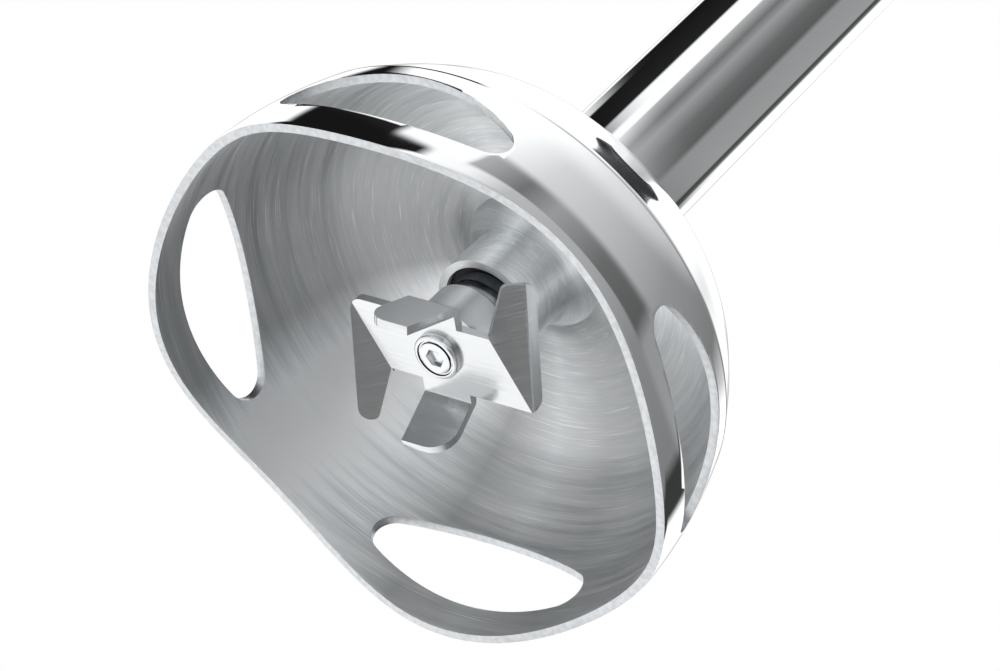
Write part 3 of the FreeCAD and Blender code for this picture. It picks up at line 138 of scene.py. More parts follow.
def spun(outline, steps):
    """Turn a closed lathe outline about the drive axis into a mesh."""
    bm = bmesh.new()
    verts = [bm.verts.new(p) for p in outline]
    edges = [bm.edges.new(pair) for pair in zip(verts, verts[1:])]
    edges.append(bm.edges.new((verts[-1], verts[0])))
    bmesh.ops.spin(bm, geom=verts + edges, cent=(0, 0, 0), axis=(0, 0, 1), dvec=(0, 0, 0),
                   angle=TURN, steps=steps, use_merge=True, use_duplicate=False)
    bmesh.ops.remove_doubles(bm, verts=bm.verts, dist=0.0005)
    bmesh.ops.recalc_face_normals(bm, faces=bm.faces)
    return bm


def sharp_edges(bm, degrees):
    limit = math.radians(degrees)
    return [e for e in bm.edges if len(e.link_faces) == 2 and e.calc_face_angle(0) > limit]


def soften(bm, width, degrees, segments=2):
    """Round every edge that is sharper than an angle."""
    bmesh.ops.bevel(bm, geom=sharp_edges(bm, degrees), offset=width, offset_type="OFFSET",
                    segments=segments, profile=0.5, affect="EDGES", material=-1,
                    clamp_overlap=True)


def piece(name, bm, materials, body, replaced, smooth_below=35):
    """Finish a mesh made in millimetres: scale it, shade it, and fix it to its body."""
    bmesh.ops.scale(bm, vec=(MM, MM, MM), verts=bm.verts)
    mesh = bpy.data.meshes.new(name)
    for face in bm.faces:
        face.smooth = True
    for edge in bm.edges:
        edge.smooth = edge.calc_face_angle(0) < math.radians(smooth_below)
    bm.to_mesh(mesh)
    bm.free()
    for material in materials:
        mesh.materials.append(material)
    obj = bpy.data.objects.new(name, mesh)
    bpy.context.scene.collection.objects.link(obj)
    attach(obj, body)
    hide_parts(*replaced)


def dress(name, material):
    """Give a carried-over engineering part its finish."""
    mesh = frame["nodes"][name].data
    mesh.materials.clear()
    mesh.materials.append(material)


def cut(target, cutters):
    """Cut solids out of a mesh, both as bmesh, and return the result as a new bmesh."""
    objects = []
    for bm in [target] + cutters:
        mesh = bpy.data.meshes.new("cut_work")
        bm.to_mesh(mesh)
        bm.free()
        work = bpy.data.objects.new("cut_work", mesh)
        bpy.context.scene.collection.objects.link(work)
        objects.append(work)
    for cutter in objects[1:]:
        step = objects[0].modifiers.new("cut", "BOOLEAN")
        step.operation = "DIFFERENCE"
        step.solver = "EXACT"
        step.object = cutter
    bpy.context.view_layer.update()
    graph = bpy.context.evaluated_depsgraph_get()
    result = bmesh.new()
    result.from_mesh(objects[0].evaluated_get(graph).to_mesh())
    for work in objects:
        mesh = work.data
        bpy.data.objects.remove(work)
        bpy.data.meshes.remove(mesh)
    return result


# ---- materials -------------------------------------------------------------------------------
def place(tree):
    """The piece's own coordinates, in metres."""
    return node(tree, "ShaderNodeTexCoord").outputs["Object"]


def round_way(tree):
    """Direction round the drive axis at each point, in which turned metal is scratched."""
    parts = node(tree, "ShaderNodeSeparateXYZ", {0: place(tree)})
    back = node(tree, "ShaderNodeMath", {0: parts.outputs["Y"], 1: -1.0}, operation="MULTIPLY")
    way = node(tree, "ShaderNodeCombineXYZ", {"X": back.outputs[0], "Y": parts.outputs["X"]})
    return node(tree, "ShaderNodeVectorTransform", {0: way.outputs[0]}, vector_type="VECTOR",
                convert_from="OBJECT", convert_to="WORLD").outputs[0]


def lathe_coordinates(tree, along, across):
    """Coordinates that are stretched round the drive axis and fine along the outline."""
    parts = node(tree, "ShaderNodeSeparateXYZ", {0: place(tree)})
    x, y, z = parts.outputs
    flat = node(tree, "ShaderNodeCombineXYZ", {"X": x, "Y": y})
    radius = node(tree, "ShaderNodeVectorMath", {0: flat.outputs[0]}, operation="LENGTH")
    run = node(tree, "ShaderNodeMath", {0: z, 1: radius.outputs["Value"]}, operation="SUBTRACT")
    fine = node(tree, "ShaderNodeMath", {0: run.outputs[0], 1: across}, operation="MULTIPLY")
    unit = node(tree, "ShaderNodeVectorMath", {0: flat.outputs[0]}, operation="NORMALIZE")
    wide = node(tree, "ShaderNodeVectorMath", {0: unit.outputs[0], "Scale": along},
                operation="SCALE")
    split = node(tree, "ShaderNodeSeparateXYZ", {0: wide.outputs[0]})
    return node(tree, "ShaderNodeCombineXYZ", {"X": split.outputs["X"], "Y": split.outputs["Y"],
                                               "Z": fine.outputs[0]}).outputs[0]


def polished_stainless():
    """Pressed 18/10 stainless, buffed to a mirror: crisp reflections, a trace of haze."""
    material, tree, shader = surface("buffed_stainless_steel", {
        "Base Color": linear("#e3e5e6"), "Metallic": 1.0, "Roughness": 0.035})
    haze = node(tree, "ShaderNodeTexNoise", {"Vector": place(tree), "Scale": 60.0, "Detail": 6.0})
    rough = node(tree, "ShaderNodeMapRange", {"Value": haze.outputs["Fac"], "From Min": 0.35,
                                              "From Max": 0.75, "To Min": 0.025, "To Max": 0.07})
    tree.links.new(rough.outputs["Result"], shader.inputs["Roughness"])
    wave = node(tree, "ShaderNodeTexNoise", {"Vector": place(tree), "Scale": 45.0, "Detail": 2.0})
    bump = node(tree, "ShaderNodeBump", {"Height": wave.outputs["Fac"], "Strength": 0.04,
                                         "Distance": 0.0006})
    tree.links.new(bump.outputs["Normal"], shader.inputs["Normal"])
    return material


# Painted highlights and shade round the axis, multiplied into the colour of the bell's inside:
# degrees and level.
PAINTED_FAN = [(-180, 0.8), (-150, 0.9), (-125, 1.25), (-108, 1.5), (-85, 0.85), (-60, 1.15),
       (-20, 1.3), (0, 1.5), (20, 0.95), (45, 0.65), (70, 0.8), (88, 1.1), (104, 0.7),
       (122, 1.5), (138, 2.0), (150, 1.9), (164, 0.85), (180, 0.8)]


def lathed_stainless():
    """Inside of the bell, scoured on a lathe: fine circular scratches, with a fan of highlights and
    shade painted into its colour round the axis.
    """
    material, tree, shader = surface("lathe_brushed_stainless_steel", {
        "Base Color": linear("#b9bcbe"), "Metallic": 1.0, "Roughness": 0.4,
        "Anisotropic": 0.85, "Anisotropic Rotation": 0.25, "Tangent": (0, 0, 0)})
    tree.links.new(round_way(tree), shader.inputs["Tangent"])
    hair = node(tree, "ShaderNodeTexNoise", {
        "Vector": lathe_coordinates(tree, 3.4, 7000.0), "Scale": 1.0, "Detail": 2.0,
        "Roughness": 0.6})
    broad = node(tree, "ShaderNodeTexNoise", {
        "Vector": lathe_coordinates(tree, 1.4, 900.0), "Scale": 1.0, "Detail": 3.0})
    lines = node(tree, "ShaderNodeMapRange", {"Value": hair.outputs["Fac"], "From Min": 0.58,
                                              "From Max": 0.8})
    worn = node(tree, "ShaderNodeMapRange", {"Value": broad.outputs["Fac"], "From Min": 0.35,
                                             "From Max": 0.65})
    under = node(tree, "ShaderNodeMix", {0: worn.outputs[0], 6: linear("#b9bcbe"),
                                         7: linear("#cccecf")}, data_type="RGBA")
    colour = node(tree, "ShaderNodeMix", {0: lines.outputs[0], 6: under.outputs[2],
                                          7: linear("#f4f5f5")}, data_type="RGBA")
    # Painted highlights and shade: the colour is brightened and darkened in sectors round the drive
    # axis.
    x, y, z = node(tree, "ShaderNodeSeparateXYZ", {0: place(tree)}).outputs
    turn = node(tree, "ShaderNodeMath", {0: y, 1: x}, operation="ARCTAN2")
    painted_fan = ring_ramp(tree, whole_turn(tree, turn), PAINTED_FAN)
    lit = node(tree, "ShaderNodeMix", {0: 1.0, 6: colour.outputs[2], 7: painted_fan},
               data_type="RGBA", blend_type="MULTIPLY")
    tree.links.new(lit.outputs[2], shader.inputs["Base Color"])
    rough = node(tree, "ShaderNodeMapRange", {"Value": broad.outputs["Fac"], "From Min": 0.3,
                                              "From Max": 0.7, "To Min": 0.36, "To Max": 0.48})
    tree.links.new(rough.outputs["Result"], shader.inputs["Roughness"])
    bump = node(tree, "ShaderNodeBump", {"Height": hair.outputs["Fac"], "Strength": 0.15,
                                         "Distance": 0.00004})
    tree.links.new(bump.outputs["Normal"], shader.inputs["Normal"])
    return material


def cut_stainless():
    """Punched and tumbled edges of the sheet: light, satin and a little grainy."""
    material, tree, shader = surface("tumbled_steel_edge", {
        "Base Color": linear("#b9bcbe"), "Metallic": 1.0, "Roughness": 0.38})
    grain = node(tree, "ShaderNodeTexNoise", {"Vector": place(tree), "Scale": 1500.0,
                                              "Detail": 4.0})
    colour = node(tree, "ShaderNodeValToRGB", {"Fac": grain.outputs["Fac"]}, stops=[
        (0.35, linear("#b6b9bb")), (0.62, linear("#c6c8ca"))])
    tree.links.new(colour.outputs["Color"], shader.inputs["Base Color"])
    bump = node(tree, "ShaderNodeBump", {"Height": grain.outputs["Fac"], "Strength": 0.1,
                                         "Distance": 0.00002})
    tree.links.new(bump.outputs["Normal"], shader.inputs["Normal"])
    return material


def satin_stainless():
    """Hardened strip steel of the blade, belt-polished along its length."""
    material, tree, shader = surface("belt_polished_strip_steel", {
        "Base Color": linear("#cfd1d2"), "Metallic": 1.0, "Roughness": 0.2})
    turned = node(tree, "ShaderNodeMapping", {"Vector": place(tree),
                                              "Rotation": (0, 0, math.radians(26)),
                                              "Scale": (160.0, 4200.0, 160.0)})
    lines = node(tree, "ShaderNodeTexNoise", {"Vector": turned.outputs[0], "Scale": 1.0,
                                              "Detail": 3.0})
    rough = node(tree, "ShaderNodeMapRange", {"Value": lines.outputs["Fac"], "From Min": 0.3,
                                              "From Max": 0.7, "To Min": 0.13, "To Max": 0.28})
    tree.links.new(rough.outputs["Result"], shader.inputs["Roughness"])
    bump = node(tree, "ShaderNodeBump", {"Height": lines.outputs["Fac"], "Strength": 0.12,
                                         "Distance": 0.00003})
    tree.links.new(bump.outputs["Normal"], shader.inputs["Normal"])
    return material


def turned_steel():
    """Bar steel from the lathe: fine rings and a bright, slightly broken reflection."""
    material, tree, shader = surface("turned_bar_steel", {
        "Base Color": linear("#d5d7d9"), "Metallic": 1.0, "Roughness": 0.16})
    rings = node(tree, "ShaderNodeTexNoise", {"Vector": lathe_coordinates(tree, 1.5, 5200.0),
                                              "Scale": 1.0, "Detail": 2.0})
    rough = node(tree, "ShaderNodeMapRange", {"Value": rings.outputs["Fac"], "From Min": 0.3,
                                              "From Max": 0.7, "To Min": 0.1, "To Max": 0.24})
    tree.links.new(rough.outputs["Result"], shader.inputs["Roughness"])
    bump = node(tree, "ShaderNodeBump", {"Height": rings.outputs["Fac"], "Strength": 0.1,
                                         "Distance": 0.00003})
    tree.links.new(bump.outputs["Normal"], shader.inputs["Normal"])
    return material


def speckled(name, base, light, scale, inputs, depth=0.00004, strength=0.25):
    """Shared make-up of moulded and cast finishes: a two-tone grain and a fine texture."""
    material, tree, shader = surface(name, dict(inputs))
    grain = node(tree, "ShaderNodeTexNoise", {"Vector": place(tree), "Scale": scale,
                                              "Detail": 5.0, "Roughness": 0.6})
    colour = node(tree, "ShaderNodeValToRGB", {"Fac": grain.outputs["Fac"]}, stops=[
        (0.35, linear(base)), (0.65, linear(light))])
    tree.links.new(colour.outputs["Color"], shader.inputs["Base Color"])
    bump = node(tree, "ShaderNodeBump", {"Height": grain.outputs["Fac"], "Strength": strength,
                                         "Distance": depth})
    tree.links.new(bump.outputs["Normal"], shader.inputs["Normal"])
    return material


def finishes():
    """Every finish, by the name of the record's material slot."""
    plastic = {"Roughness": 0.42, "IOR": 1.53}
    return {
        "polished_stainless": polished_stainless(),
        "lathed_stainless": lathed_stainless(),
        "cut_stainless": cut_stainless(),
        "satin_stainless": satin_stainless(),
        "ground_steel": turned_steel(),
        # Near-black steel painted into the screw's groove, standing for the shade in that hollow.
        "painted_groove_shade": speckled("steel_with_painted_groove_shade", "#17181a", "#2a2c2e", 1500.0,
                                 {"Metallic": 1.0, "Roughness": 0.4}),
        "spring_steel": speckled("blued_spring_steel", "#5f646a", "#8d9298", 900.0,
                                 {"Metallic": 1.0, "Roughness": 0.3}),
        "zinc_steel": speckled("zinc_plated_steel", "#b9bfc4", "#e0e4e6", 700.0,
                               {"Metallic": 1.0, "Roughness": 0.35}),
        "sintered_bronze": speckled("sintered_bronze", "#6e4f2c", "#b98d55", 2500.0,
                                    {"Metallic": 1.0, "Roughness": 0.5}),
        "black_rubber": speckled("moulded_nitrile_rubber", "#141415", "#222324", 1200.0,
                                 {"Roughness": 0.62, "IOR": 1.52}),
        "soft_grip_rubber": speckled("santoprene_soft_grip", "#1d1e20", "#2a2c2e", 2600.0,
                                     {"Roughness": 0.72, "IOR": 1.5}, 0.00012, 0.5),
        "nylon": speckled("moulded_nylon", "#d9d6c9", "#ebe8de", 500.0,
                          {"Roughness": 0.4, "IOR": 1.53, "Subsurface Weight": 0.1,
                           "Subsurface Radius": (0.001, 0.001, 0.0008)}),
        "moulded_housing": speckled("spark_eroded_abs", "#2b2d30", "#34373a", 2200.0,
                                    dict(plastic), 0.00006, 0.35),
        "moulded_inner": speckled("glass_filled_nylon", "#3c4045", "#4c5157", 900.0, plastic),
        "button_plastic": speckled("satin_moulded_abs", "#a3a7ab", "#b0b4b8", 1800.0, plastic),
        "dial_plastic": speckled("satin_moulded_abs_dial", "#8f9498", "#9ba0a4", 1800.0, plastic),
        "switch_plastic": speckled("moulded_pbt", "#1f2733", "#2b3442", 800.0, plastic),
        "circuit_board": speckled("solder_mask_laminate", "#1e5a36", "#2a7046", 1500.0,
                                  {"Roughness": 0.3, "IOR": 1.5}),
        "laminated_steel": speckled("varnished_laminations", "#4c4f53", "#74787c", 1300.0,
                                    {"Metallic": 1.0, "Roughness": 0.45}),
        "copper_wire": speckled("enamelled_copper_wire", "#8e3f1c", "#c4713f", 1900.0,
                                {"Metallic": 1.0, "Roughness": 0.28}),
        "copper_bar": speckled("turned_copper", "#b4663c", "#d98f62", 900.0,
                               {"Metallic": 1.0, "Roughness": 0.25}),
        "brass": speckled("pressed_brass", "#b08d45", "#d9ba6c", 800.0,
                          {"Metallic": 1.0, "Roughness": 0.3}),
        "carbon": speckled("pressed_graphite", "#17181a", "#26282b", 2600.0,
                           {"Roughness": 0.55, "IOR": 1.6}),
    }


FINISH = {}


# ---- bell guard --------------------------------------------------------------------------------
# Millimetres: outline points are pairs of radius and height.
DOME = [(28.33, 21.58), (25.25, 25.77), (18.98, 28.99), (12.6, 30.3), (9.7, 30.56)]
DOME_FILLET = (8.85, 30.78)     # fillet between the dome and the tube
SPIGOT_TOP = 31.4
TUBE_GAP = 0.03
NECK_BORE = 5.22
NECK_RADIUS = 6.15
NECK_MOUTH = 17.8
NECK_TOP = 22.5                 # where the neck starts to flare
INNER_DOME = [(6.6, 25.3), (8.6, 27.6), (12.2, 28.75), (18.5, 27.9), (24.5, 24.95),
              (27.4, 21.05)]
SKIRT_ROWS = 22
SKIRT_POWER = 2.1               # how late the skirt draws in towards the crease
CREASE_GROOVE = 0.14            # depth of the crease between skirt and dome,
CREASE_LIP = 0.03               # step above it
CREASE_REACH = 0.15             # and half its height
RIM_INNER = 25                  # the rim's wave moves what lies outside this radius
RIM_REACH = 8                   # and below this height,
SILL_MARGIN = 0.15              # but nothing within this of a window
WINDOWS = 4
PUNCH_START = 20                # radius at which a window's punch starts
PUNCH_LENGTH = 20
PUNCH_STEPS = 12
CORNER_START = 1.02             # where a window's corner starts, in corner radii
CORNER_OFFSET = 0.64            # bevel offset that gives the corner its radius
BELL_STEPS = 288
BELL_ROUNDING = 0.11
BELL_WELD = 0.004
INSIDE_LEAN = 0.6               # weight of a face's tilt in telling the outside from the inside
LEVEL = 0.97                    # a face this level near the mouth is the sheet's edge
OUTER, INNER, EDGE = range(3)   # the bell's three finishes


def skirt_radius(bell, z):
    """Outer radius of the bell's skirt at a height in millimetres."""
    share = max(z, 0) / (bell.crease / MM)
    return bell.rim_radius / MM - bell.skirt_draw / MM * share ** SKIRT_POWER


def rim_rise(bell, angle):
    """Height of the rim's wave at an angle, lowest under the windows."""
    return bell.rim_wave / MM * (1 - math.cos(WINDOWS * angle)) / 2


def bell_outline(bell):
    """Closed outline of the bell's wall, as it would be before the rim and windows are cut."""
    wall = bell.wall / MM
    crease = bell.crease / MM
    rows = [crease * k / SKIRT_ROWS for k in range(SKIRT_ROWS + 1)]
    skirt = [at(skirt_radius(bell, z), z) for z in rows]
    below = crease - CREASE_REACH
    skirt[-1:] = [at(skirt_radius(bell, below), below),
                  at(skirt_radius(bell, crease) - CREASE_GROOVE, crease)]
    top = at(skirt_radius(bell, crease) - CREASE_LIP, crease + CREASE_REACH)
    dome = flow([top] + [at(*point) for point in DOME], 8)
    tube = bell.tube_radius / MM + TUBE_GAP
    fillet = flow([at(*DOME[-1]), at(*DOME_FILLET), at(tube, SPIGOT_TOP)], 4)
    neck = [at(NECK_BORE, SPIGOT_TOP), at(NECK_BORE, NECK_MOUTH), at(NECK_RADIUS, NECK_MOUTH)]
    inner_dome = flow([at(NECK_RADIUS, NECK_TOP)] + [at(*point) for point in INNER_DOME]
                      + [at(skirt_radius(bell, crease) - wall, crease)], 6)
    inner = [at(skirt_radius(bell, z) - wall, z) for z in reversed(rows)]
    return skirt + dome + fillet[1:] + neck + inner_dome + inner[1:]


def wave_rim(bell, bm):
    """Draw the rim's lower edge up between the windows, without touching the windows."""
    reach = bell.sill / MM - SILL_MARGIN
    for vert in bm.verts:
        angle = math.atan2(vert.co.y, vert.co.x)
        radius = math.hypot(vert.co.x, vert.co.y)
        low = vert.co.z
        if radius < RIM_INNER or low > RIM_REACH:
            continue
        pull = bell.rim_pull / MM * (1 - math.cos(WINDOWS * angle)) / 2
        pull *= 1 - low / RIM_REACH
        if low < reach:
            vert.co.z = low + rim_rise(bell, angle) * (1 - low / reach)
            pull += skirt_radius(bell, low) - skirt_radius(bell, vert.co.z)
        vert.co.x *= (radius - pull) / radius
        vert.co.y *= (radius - pull) / radius


def window_cutter(bell, turn):
    """Punch for one side window: a curved sill, an arch and four round corners."""
    half, corner = bell.window_width / MM / 2, bell.window_corner / MM
    sill, arch = bell.sill / MM, bell.window_top / MM
    sill_radius, arch_radius = bell.sill_radius / MM, bell.arch_radius / MM
    straight = half - corner * CORNER_START
    steps = [straight * k / PUNCH_STEPS for k in range(PUNCH_STEPS + 1)] + [half]
    low = [(y, sill + sill_radius - math.sqrt(sill_radius ** 2 - y * y)) for y in steps]
    high = [(y, arch - arch_radius + math.sqrt(arch_radius ** 2 - y * y)) for y in steps]
    right = low + high[::-1]
    left = [(-y, z) for y, z in right[-2:0:-1]]
    bm = bmesh.new()
    face = bm.faces.new([bm.verts.new((PUNCH_START, y, z)) for y, z in right + left])
    corners = [v for v in bm.verts if abs(abs(v.co.y) - half) < 0.01]
    bmesh.ops.bevel(bm, geom=corners, offset=corner * CORNER_OFFSET, offset_type="OFFSET",
                    segments=8, profile=0.5, affect="VERTICES", material=-1, clamp_overlap=True)
    grown = bmesh.ops.extrude_face_region(bm, geom=bm.faces[:])
    verts = [v for v in grown["geom"] if isinstance(v, bmesh.types.BMVert)]
    bmesh.ops.translate(bm, vec=(PUNCH_LENGTH, 0, 0), verts=verts)
    bmesh.ops.recalc_face_normals(bm, faces=bm.faces)
    bmesh.ops.rotate(bm, cent=(0, 0, 0), matrix=Matrix.Rotation(turn, 3, "Z"), verts=bm.verts)
    for face in bm.faces:
        face.material_index = EDGE
    return bm


class BLENDER_PG_bell(bpy.types.PropertyGroup):
    rim_radius: FloatProperty(name="Rim radius", description="Outer radius of the bell's rim",
                              default=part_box("bell_guard")[1].x, unit="LENGTH")
    wall: FloatProperty(name="Wall", description="Thickness of the pressed sheet",
                        default=1.0 * MM, unit="LENGTH")
    crease: FloatProperty(name="Crease height", description="Height of the skirt's upper edge",
                          default=16.7 * MM, unit="LENGTH")
    skirt_draw: FloatProperty(name="Skirt draw", description="How far the skirt draws in",
                              default=2.23 * MM, unit="LENGTH")
    rim_wave: FloatProperty(name="Rim wave", description="Rise of the rim between windows",
                            default=3.42 * MM, unit="LENGTH")
    rim_pull: FloatProperty(name="Rim pull", description="How far the raised rim is drawn in",
                            default=0.24 * MM, unit="LENGTH")
    sill: FloatProperty(name="Window sill", description="Height of the windows' lower edge",
                        default=4.3 * MM, unit="LENGTH")
    window_top: FloatProperty(name="Window top", description="Height of the windows' arch",
                              default=14.1 * MM, unit="LENGTH")
    window_width: FloatProperty(name="Window width", description="Straight width of a window",
                                default=28.0 * MM, unit="LENGTH")
    window_corner: FloatProperty(name="Window corner", description="Radius of its corners",
                                 default=2.8 * MM, unit="LENGTH")
    sill_radius: FloatProperty(name="Sill radius", description="Curve of the lower edge",
                               default=45.0 * MM, unit="LENGTH")
    arch_radius: FloatProperty(name="Arch radius", description="Curve of the upper edge",
                               default=27.5 * MM, unit="LENGTH")
    tube_radius: FloatProperty(name="Tube radius", description="Outer radius of the foot's tube",
                               default=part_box("foot_tube")[1].x, unit="LENGTH")


class BLENDER_OT_bell(bpy.types.Operator):
    """Build the bell guard: spun wall, waved rim, punched windows"""
    bl_idname = "blender_foot.bell"
    bl_label = "Bell Guard"

    def execute(self, context):
        bell = context.scene.blender_bell
        bm = spun(bell_outline(bell), BELL_STEPS)
        for face in bm.faces:
            centre = face.calc_center_median()
            out = Vector((centre.x, centre.y, 0)).normalized()
            facing = face.normal.dot(out) + INSIDE_LEAN * face.normal.z
            face.material_index = OUTER if facing > 0 else INNER
            if abs(face.normal.z) > LEVEL and centre.z < 1:
                face.material_index = EDGE
        wave_rim(bell, bm)
        bm = cut(bm, [window_cutter(bell, TURN * k / WINDOWS) for k in range(WINDOWS)])
        bmesh.ops.remove_doubles(bm, verts=bm.verts, dist=BELL_WELD)
        soften(bm, BELL_ROUNDING, 50)
        piece("bell_guard_skin", bm,
              [FINISH["polished_stainless"], FINISH["lathed_stainless"], FINISH["cut_stainless"]],
              "foot", ["bell_guard"], 28)
        return {"FINISHED"}


# ---- foot tube, blade and screw ------------------------------------------------------------------
PART_EDGE = 25            # degrees at which an engineering part's edge counts as sharp
FLAT = 1.0                # degrees within which its faces are taken as one
WELD = 0.002              # distance at which its doubled points are joined
TUBE_ROWS = 40
TUBE_STEPS = 96
TUBE_ROUNDING = 0.15
HUB_ROUNDING = 0.12
SCREW_ROUNDING = 0.07
FOLD_ANGLE = 40           # a fold is sharper than this,
FOLD_LENGTH = 4.0         # longer than this in millimetres,
FOLD_FLAT = 0.98          # has one face this level
FOLD_TILT = (0.2, 0.75)   # and one face as steep as this


def refined(name, width, degrees=PART_EDGE, segments=2, flat=FLAT):
    """An engineering part's mesh in millimetres, joined up, cleaned and with its edges rounded."""
    bm = bmesh.new()
    bm.from_mesh(frame["nodes"][name].data)
    bmesh.ops.scale(bm, vec=(1 / MM, 1 / MM, 1 / MM), verts=bm.verts)
    bmesh.ops.remove_doubles(bm, verts=bm.verts, dist=WELD)
    bmesh.ops.dissolve_limit(bm, angle_limit=math.radians(flat), verts=bm.verts, edges=bm.edges)
    if width:
        soften(bm, width, degrees, segments)
    return bm


def is_fold(edge):
    """True for the inside of a bend in the blade's strip, in its lower or its upper face."""
    first, second = edge.link_faces
    flat = max(abs(first.normal.z), abs(second.normal.z))
    tilt = min(abs(first.normal.z), abs(second.normal.z))
    bent = FOLD_TILT[0] < tilt < FOLD_TILT[1]
    return flat > FOLD_FLAT and bent and edge.calc_length() > FOLD_LENGTH


class BLENDER_PG_foot(bpy.types.PropertyGroup):
    tube_radius: FloatProperty(name="Tube radius", description="Outer radius of the tube",
                               default=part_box("foot_tube")[1].x, unit="LENGTH")
    tube_wall: FloatProperty(name="Tube wall", description="Thickness of the tube",
                             default=0.8 * MM, unit="LENGTH")
    edge: FloatProperty(name="Edge", description="Rounding of the blade's tumbled edges",
                        default=0.12 * MM, unit="LENGTH")
    bend: FloatProperty(name="Bend", description="How far the blade's bends reach to each side",
                        default=0.5 * MM, unit="LENGTH")
    ring_radius: FloatProperty(name="Ring radius", description="Middle of the screw's groove",
                               default=2.1 * MM, unit="LENGTH")
    ring_width: FloatProperty(name="Ring width", description="Width of the screw's groove",
                              default=0.34 * MM, unit="LENGTH")
    ring_depth: FloatProperty(name="Ring depth", description="Depth of the screw's groove",
                              default=0.2 * MM, unit="LENGTH")


class BLENDER_OT_tube(bpy.types.Operator):
    """Build the drawn tube of the foot"""
    bl_idname = "blender_foot.tube"
    bl_label = "Foot Tube"

    def execute(self, context):
        foot = context.scene.blender_foot
        low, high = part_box("foot_tube")
        outer = foot.tube_radius / MM
        inner = outer - foot.tube_wall / MM
        bottom, top = low.z / MM, high.z / MM
        rows = [bottom + (top - bottom) * k / TUBE_ROWS for k in range(TUBE_ROWS + 1)]
        outline = [at(outer, z) for z in rows] + [at(inner, z) for z in reversed(rows)]
        bm = spun(outline, TUBE_STEPS)
        soften(bm, TUBE_ROUNDING, 60)
        piece("foot_tube_skin", bm, [FINISH["polished_stainless"]], "foot",
              ["foot_tube"])
        return {"FINISHED"}


class BLENDER_OT_blade(bpy.types.Operator):
    """Finish the four-winged blade: tumbled edges and belt-polished faces"""
    bl_idname = "blender_foot.blade"
    bl_label = "Blade"

    def execute(self, context):
        foot = context.scene.blender_foot
        bm = refined("blade", 0)
        folds = [e for e in sharp_edges(bm, FOLD_ANGLE) if is_fold(e)]
        bmesh.ops.bevel(bm, geom=folds, offset=foot.bend / MM, offset_type="OFFSET", segments=5,
                        profile=0.5, affect="EDGES", material=-1, clamp_overlap=True)
        soften(bm, foot.edge / MM, 28)
        piece("blade_skin", bm, [FINISH["satin_stainless"]], "drive",
              ["blade"], 22)
        return {"FINISHED"}


class BLENDER_OT_hub(bpy.types.Operator):
    """Turn the blade's hub and the screw that holds the blade"""
    bl_idname = "blender_foot.hub"
    bl_label = "Hub and Screw"

    def execute(self, context):
        bm = refined("blade_hub", HUB_ROUNDING)
        piece("blade_hub_skin", bm, [FINISH["ground_steel"]], "drive",
              ["blade_hub"], 28)
        bm = refined("blade_screw", SCREW_ROUNDING)
        foot = context.scene.blender_foot
        under = min(v.co.z for v in bm.verts)
        # Faces in the groove of the screw's head get painted shade: a near-black steel where the
        # hollow falls dark.
        for face in bm.faces:
            middle = face.calc_center_median()
            radius = Vector((middle.x, middle.y, 0)).length
            lower = middle.z < under + foot.ring_depth / MM + 0.05
            if lower and abs(radius - foot.ring_radius / MM) < foot.ring_width / MM / 2:
                face.material_index = 1
        piece("blade_screw_skin", bm, [FINISH["ground_steel"], FINISH["painted_groove_shade"]], "drive",
              ["blade_screw"], 28)
        return {"FINISHED"}


# ---- handle ------------------------------------------------------------------------------------
MOULD_EDGE = 40           # degrees at which a moulding's edge is rounded
MOULD_SMOOTH = 45         # degrees below which its faces are shaded as one
MOULD_FLAT = 0.05         # degrees within which they are joined


class BLENDER_PG_handle(bpy.types.PropertyGroup):
    edge: FloatProperty(name="Edge", description="Rounding of the mouldings' edges",
                        default=0.4 * MM, unit="LENGTH")
    joint: FloatProperty(name="Joint", description="Rounding along the joints between mouldings",
                         default=0.2 * MM, unit="LENGTH")
    button_edge: FloatProperty(name="Button edge", description="Rounding of the buttons' edges",
                               default=0.3 * MM, unit="LENGTH")


def mould(name, width, body, slot):
    """A moulded piece of the handle with its edges rounded as the mould leaves them."""
    bm = refined(name, width, MOULD_EDGE, 3, MOULD_FLAT)
    piece(name + "_skin", bm, [FINISH[slot]], body, [name], MOULD_SMOOTH)


class BLENDER_OT_collar(bpy.types.Operator):
    """Round off the foot's collar and the handle's coupling sleeve"""
    bl_idname = "blender_foot.collar"
    bl_label = "Collar and Sleeve"

    def execute(self, context):
        handle = context.scene.blender_handle
        mould("foot_collar", handle.edge / MM, "foot", "moulded_housing")
        mould("coupling_sleeve", handle.joint / MM, "handle", "moulded_housing")
        mould("trim_ring", handle.joint / MM, "handle", "polished_stainless")
        return {"FINISHED"}


class BLENDER_OT_housing(bpy.types.Operator):
    """Round off the housing halves, the soft grip, the cap and the cord inlet"""
    bl_idname = "blender_foot.housing"
    bl_label = "Housing"

    def execute(self, context):
        handle = context.scene.blender_handle
        for name in ("housing_front", "housing_back", "top_cap"):
            mould(name, handle.joint / MM, "handle", "moulded_housing")
        mould("soft_grip", handle.edge / MM, "handle", "soft_grip_rubber")
        mould("cord_gland", handle.joint / MM, "handle", "black_rubber")
        return {"FINISHED"}


class BLENDER_OT_controls(bpy.types.Operator):
    """Round off the buttons, the release catches and the speed dial"""
    bl_idname = "blender_foot.controls"
    bl_label = "Controls"

    def execute(self, context):
        edge = context.scene.blender_handle.button_edge / MM
        mould("on_button", edge, "on_button", "button_plastic")
        mould("turbo_button", edge, "turbo_button", "button_plastic")
        mould("speed_dial", edge, "speed_dial", "dial_plastic")
        mould("release_button_right", edge, "release_right", "button_plastic")
        mould("release_button_left", edge, "release_left", "button_plastic")
        return {"FINISHED"}


# ---- stage ---------------------------------------------------------------------------------------
# The camera's place in metres, and its axes.
VIEW_PLACE = (0.16807, -0.18263, -0.18852)
VIEW_RIGHT = (0.82702, 0.13651, 0.54535)
VIEW_DOWN = (0.22606, 0.80743, -0.54493)
VIEW_WAY = (-0.51472, 0.57396, 0.63690)
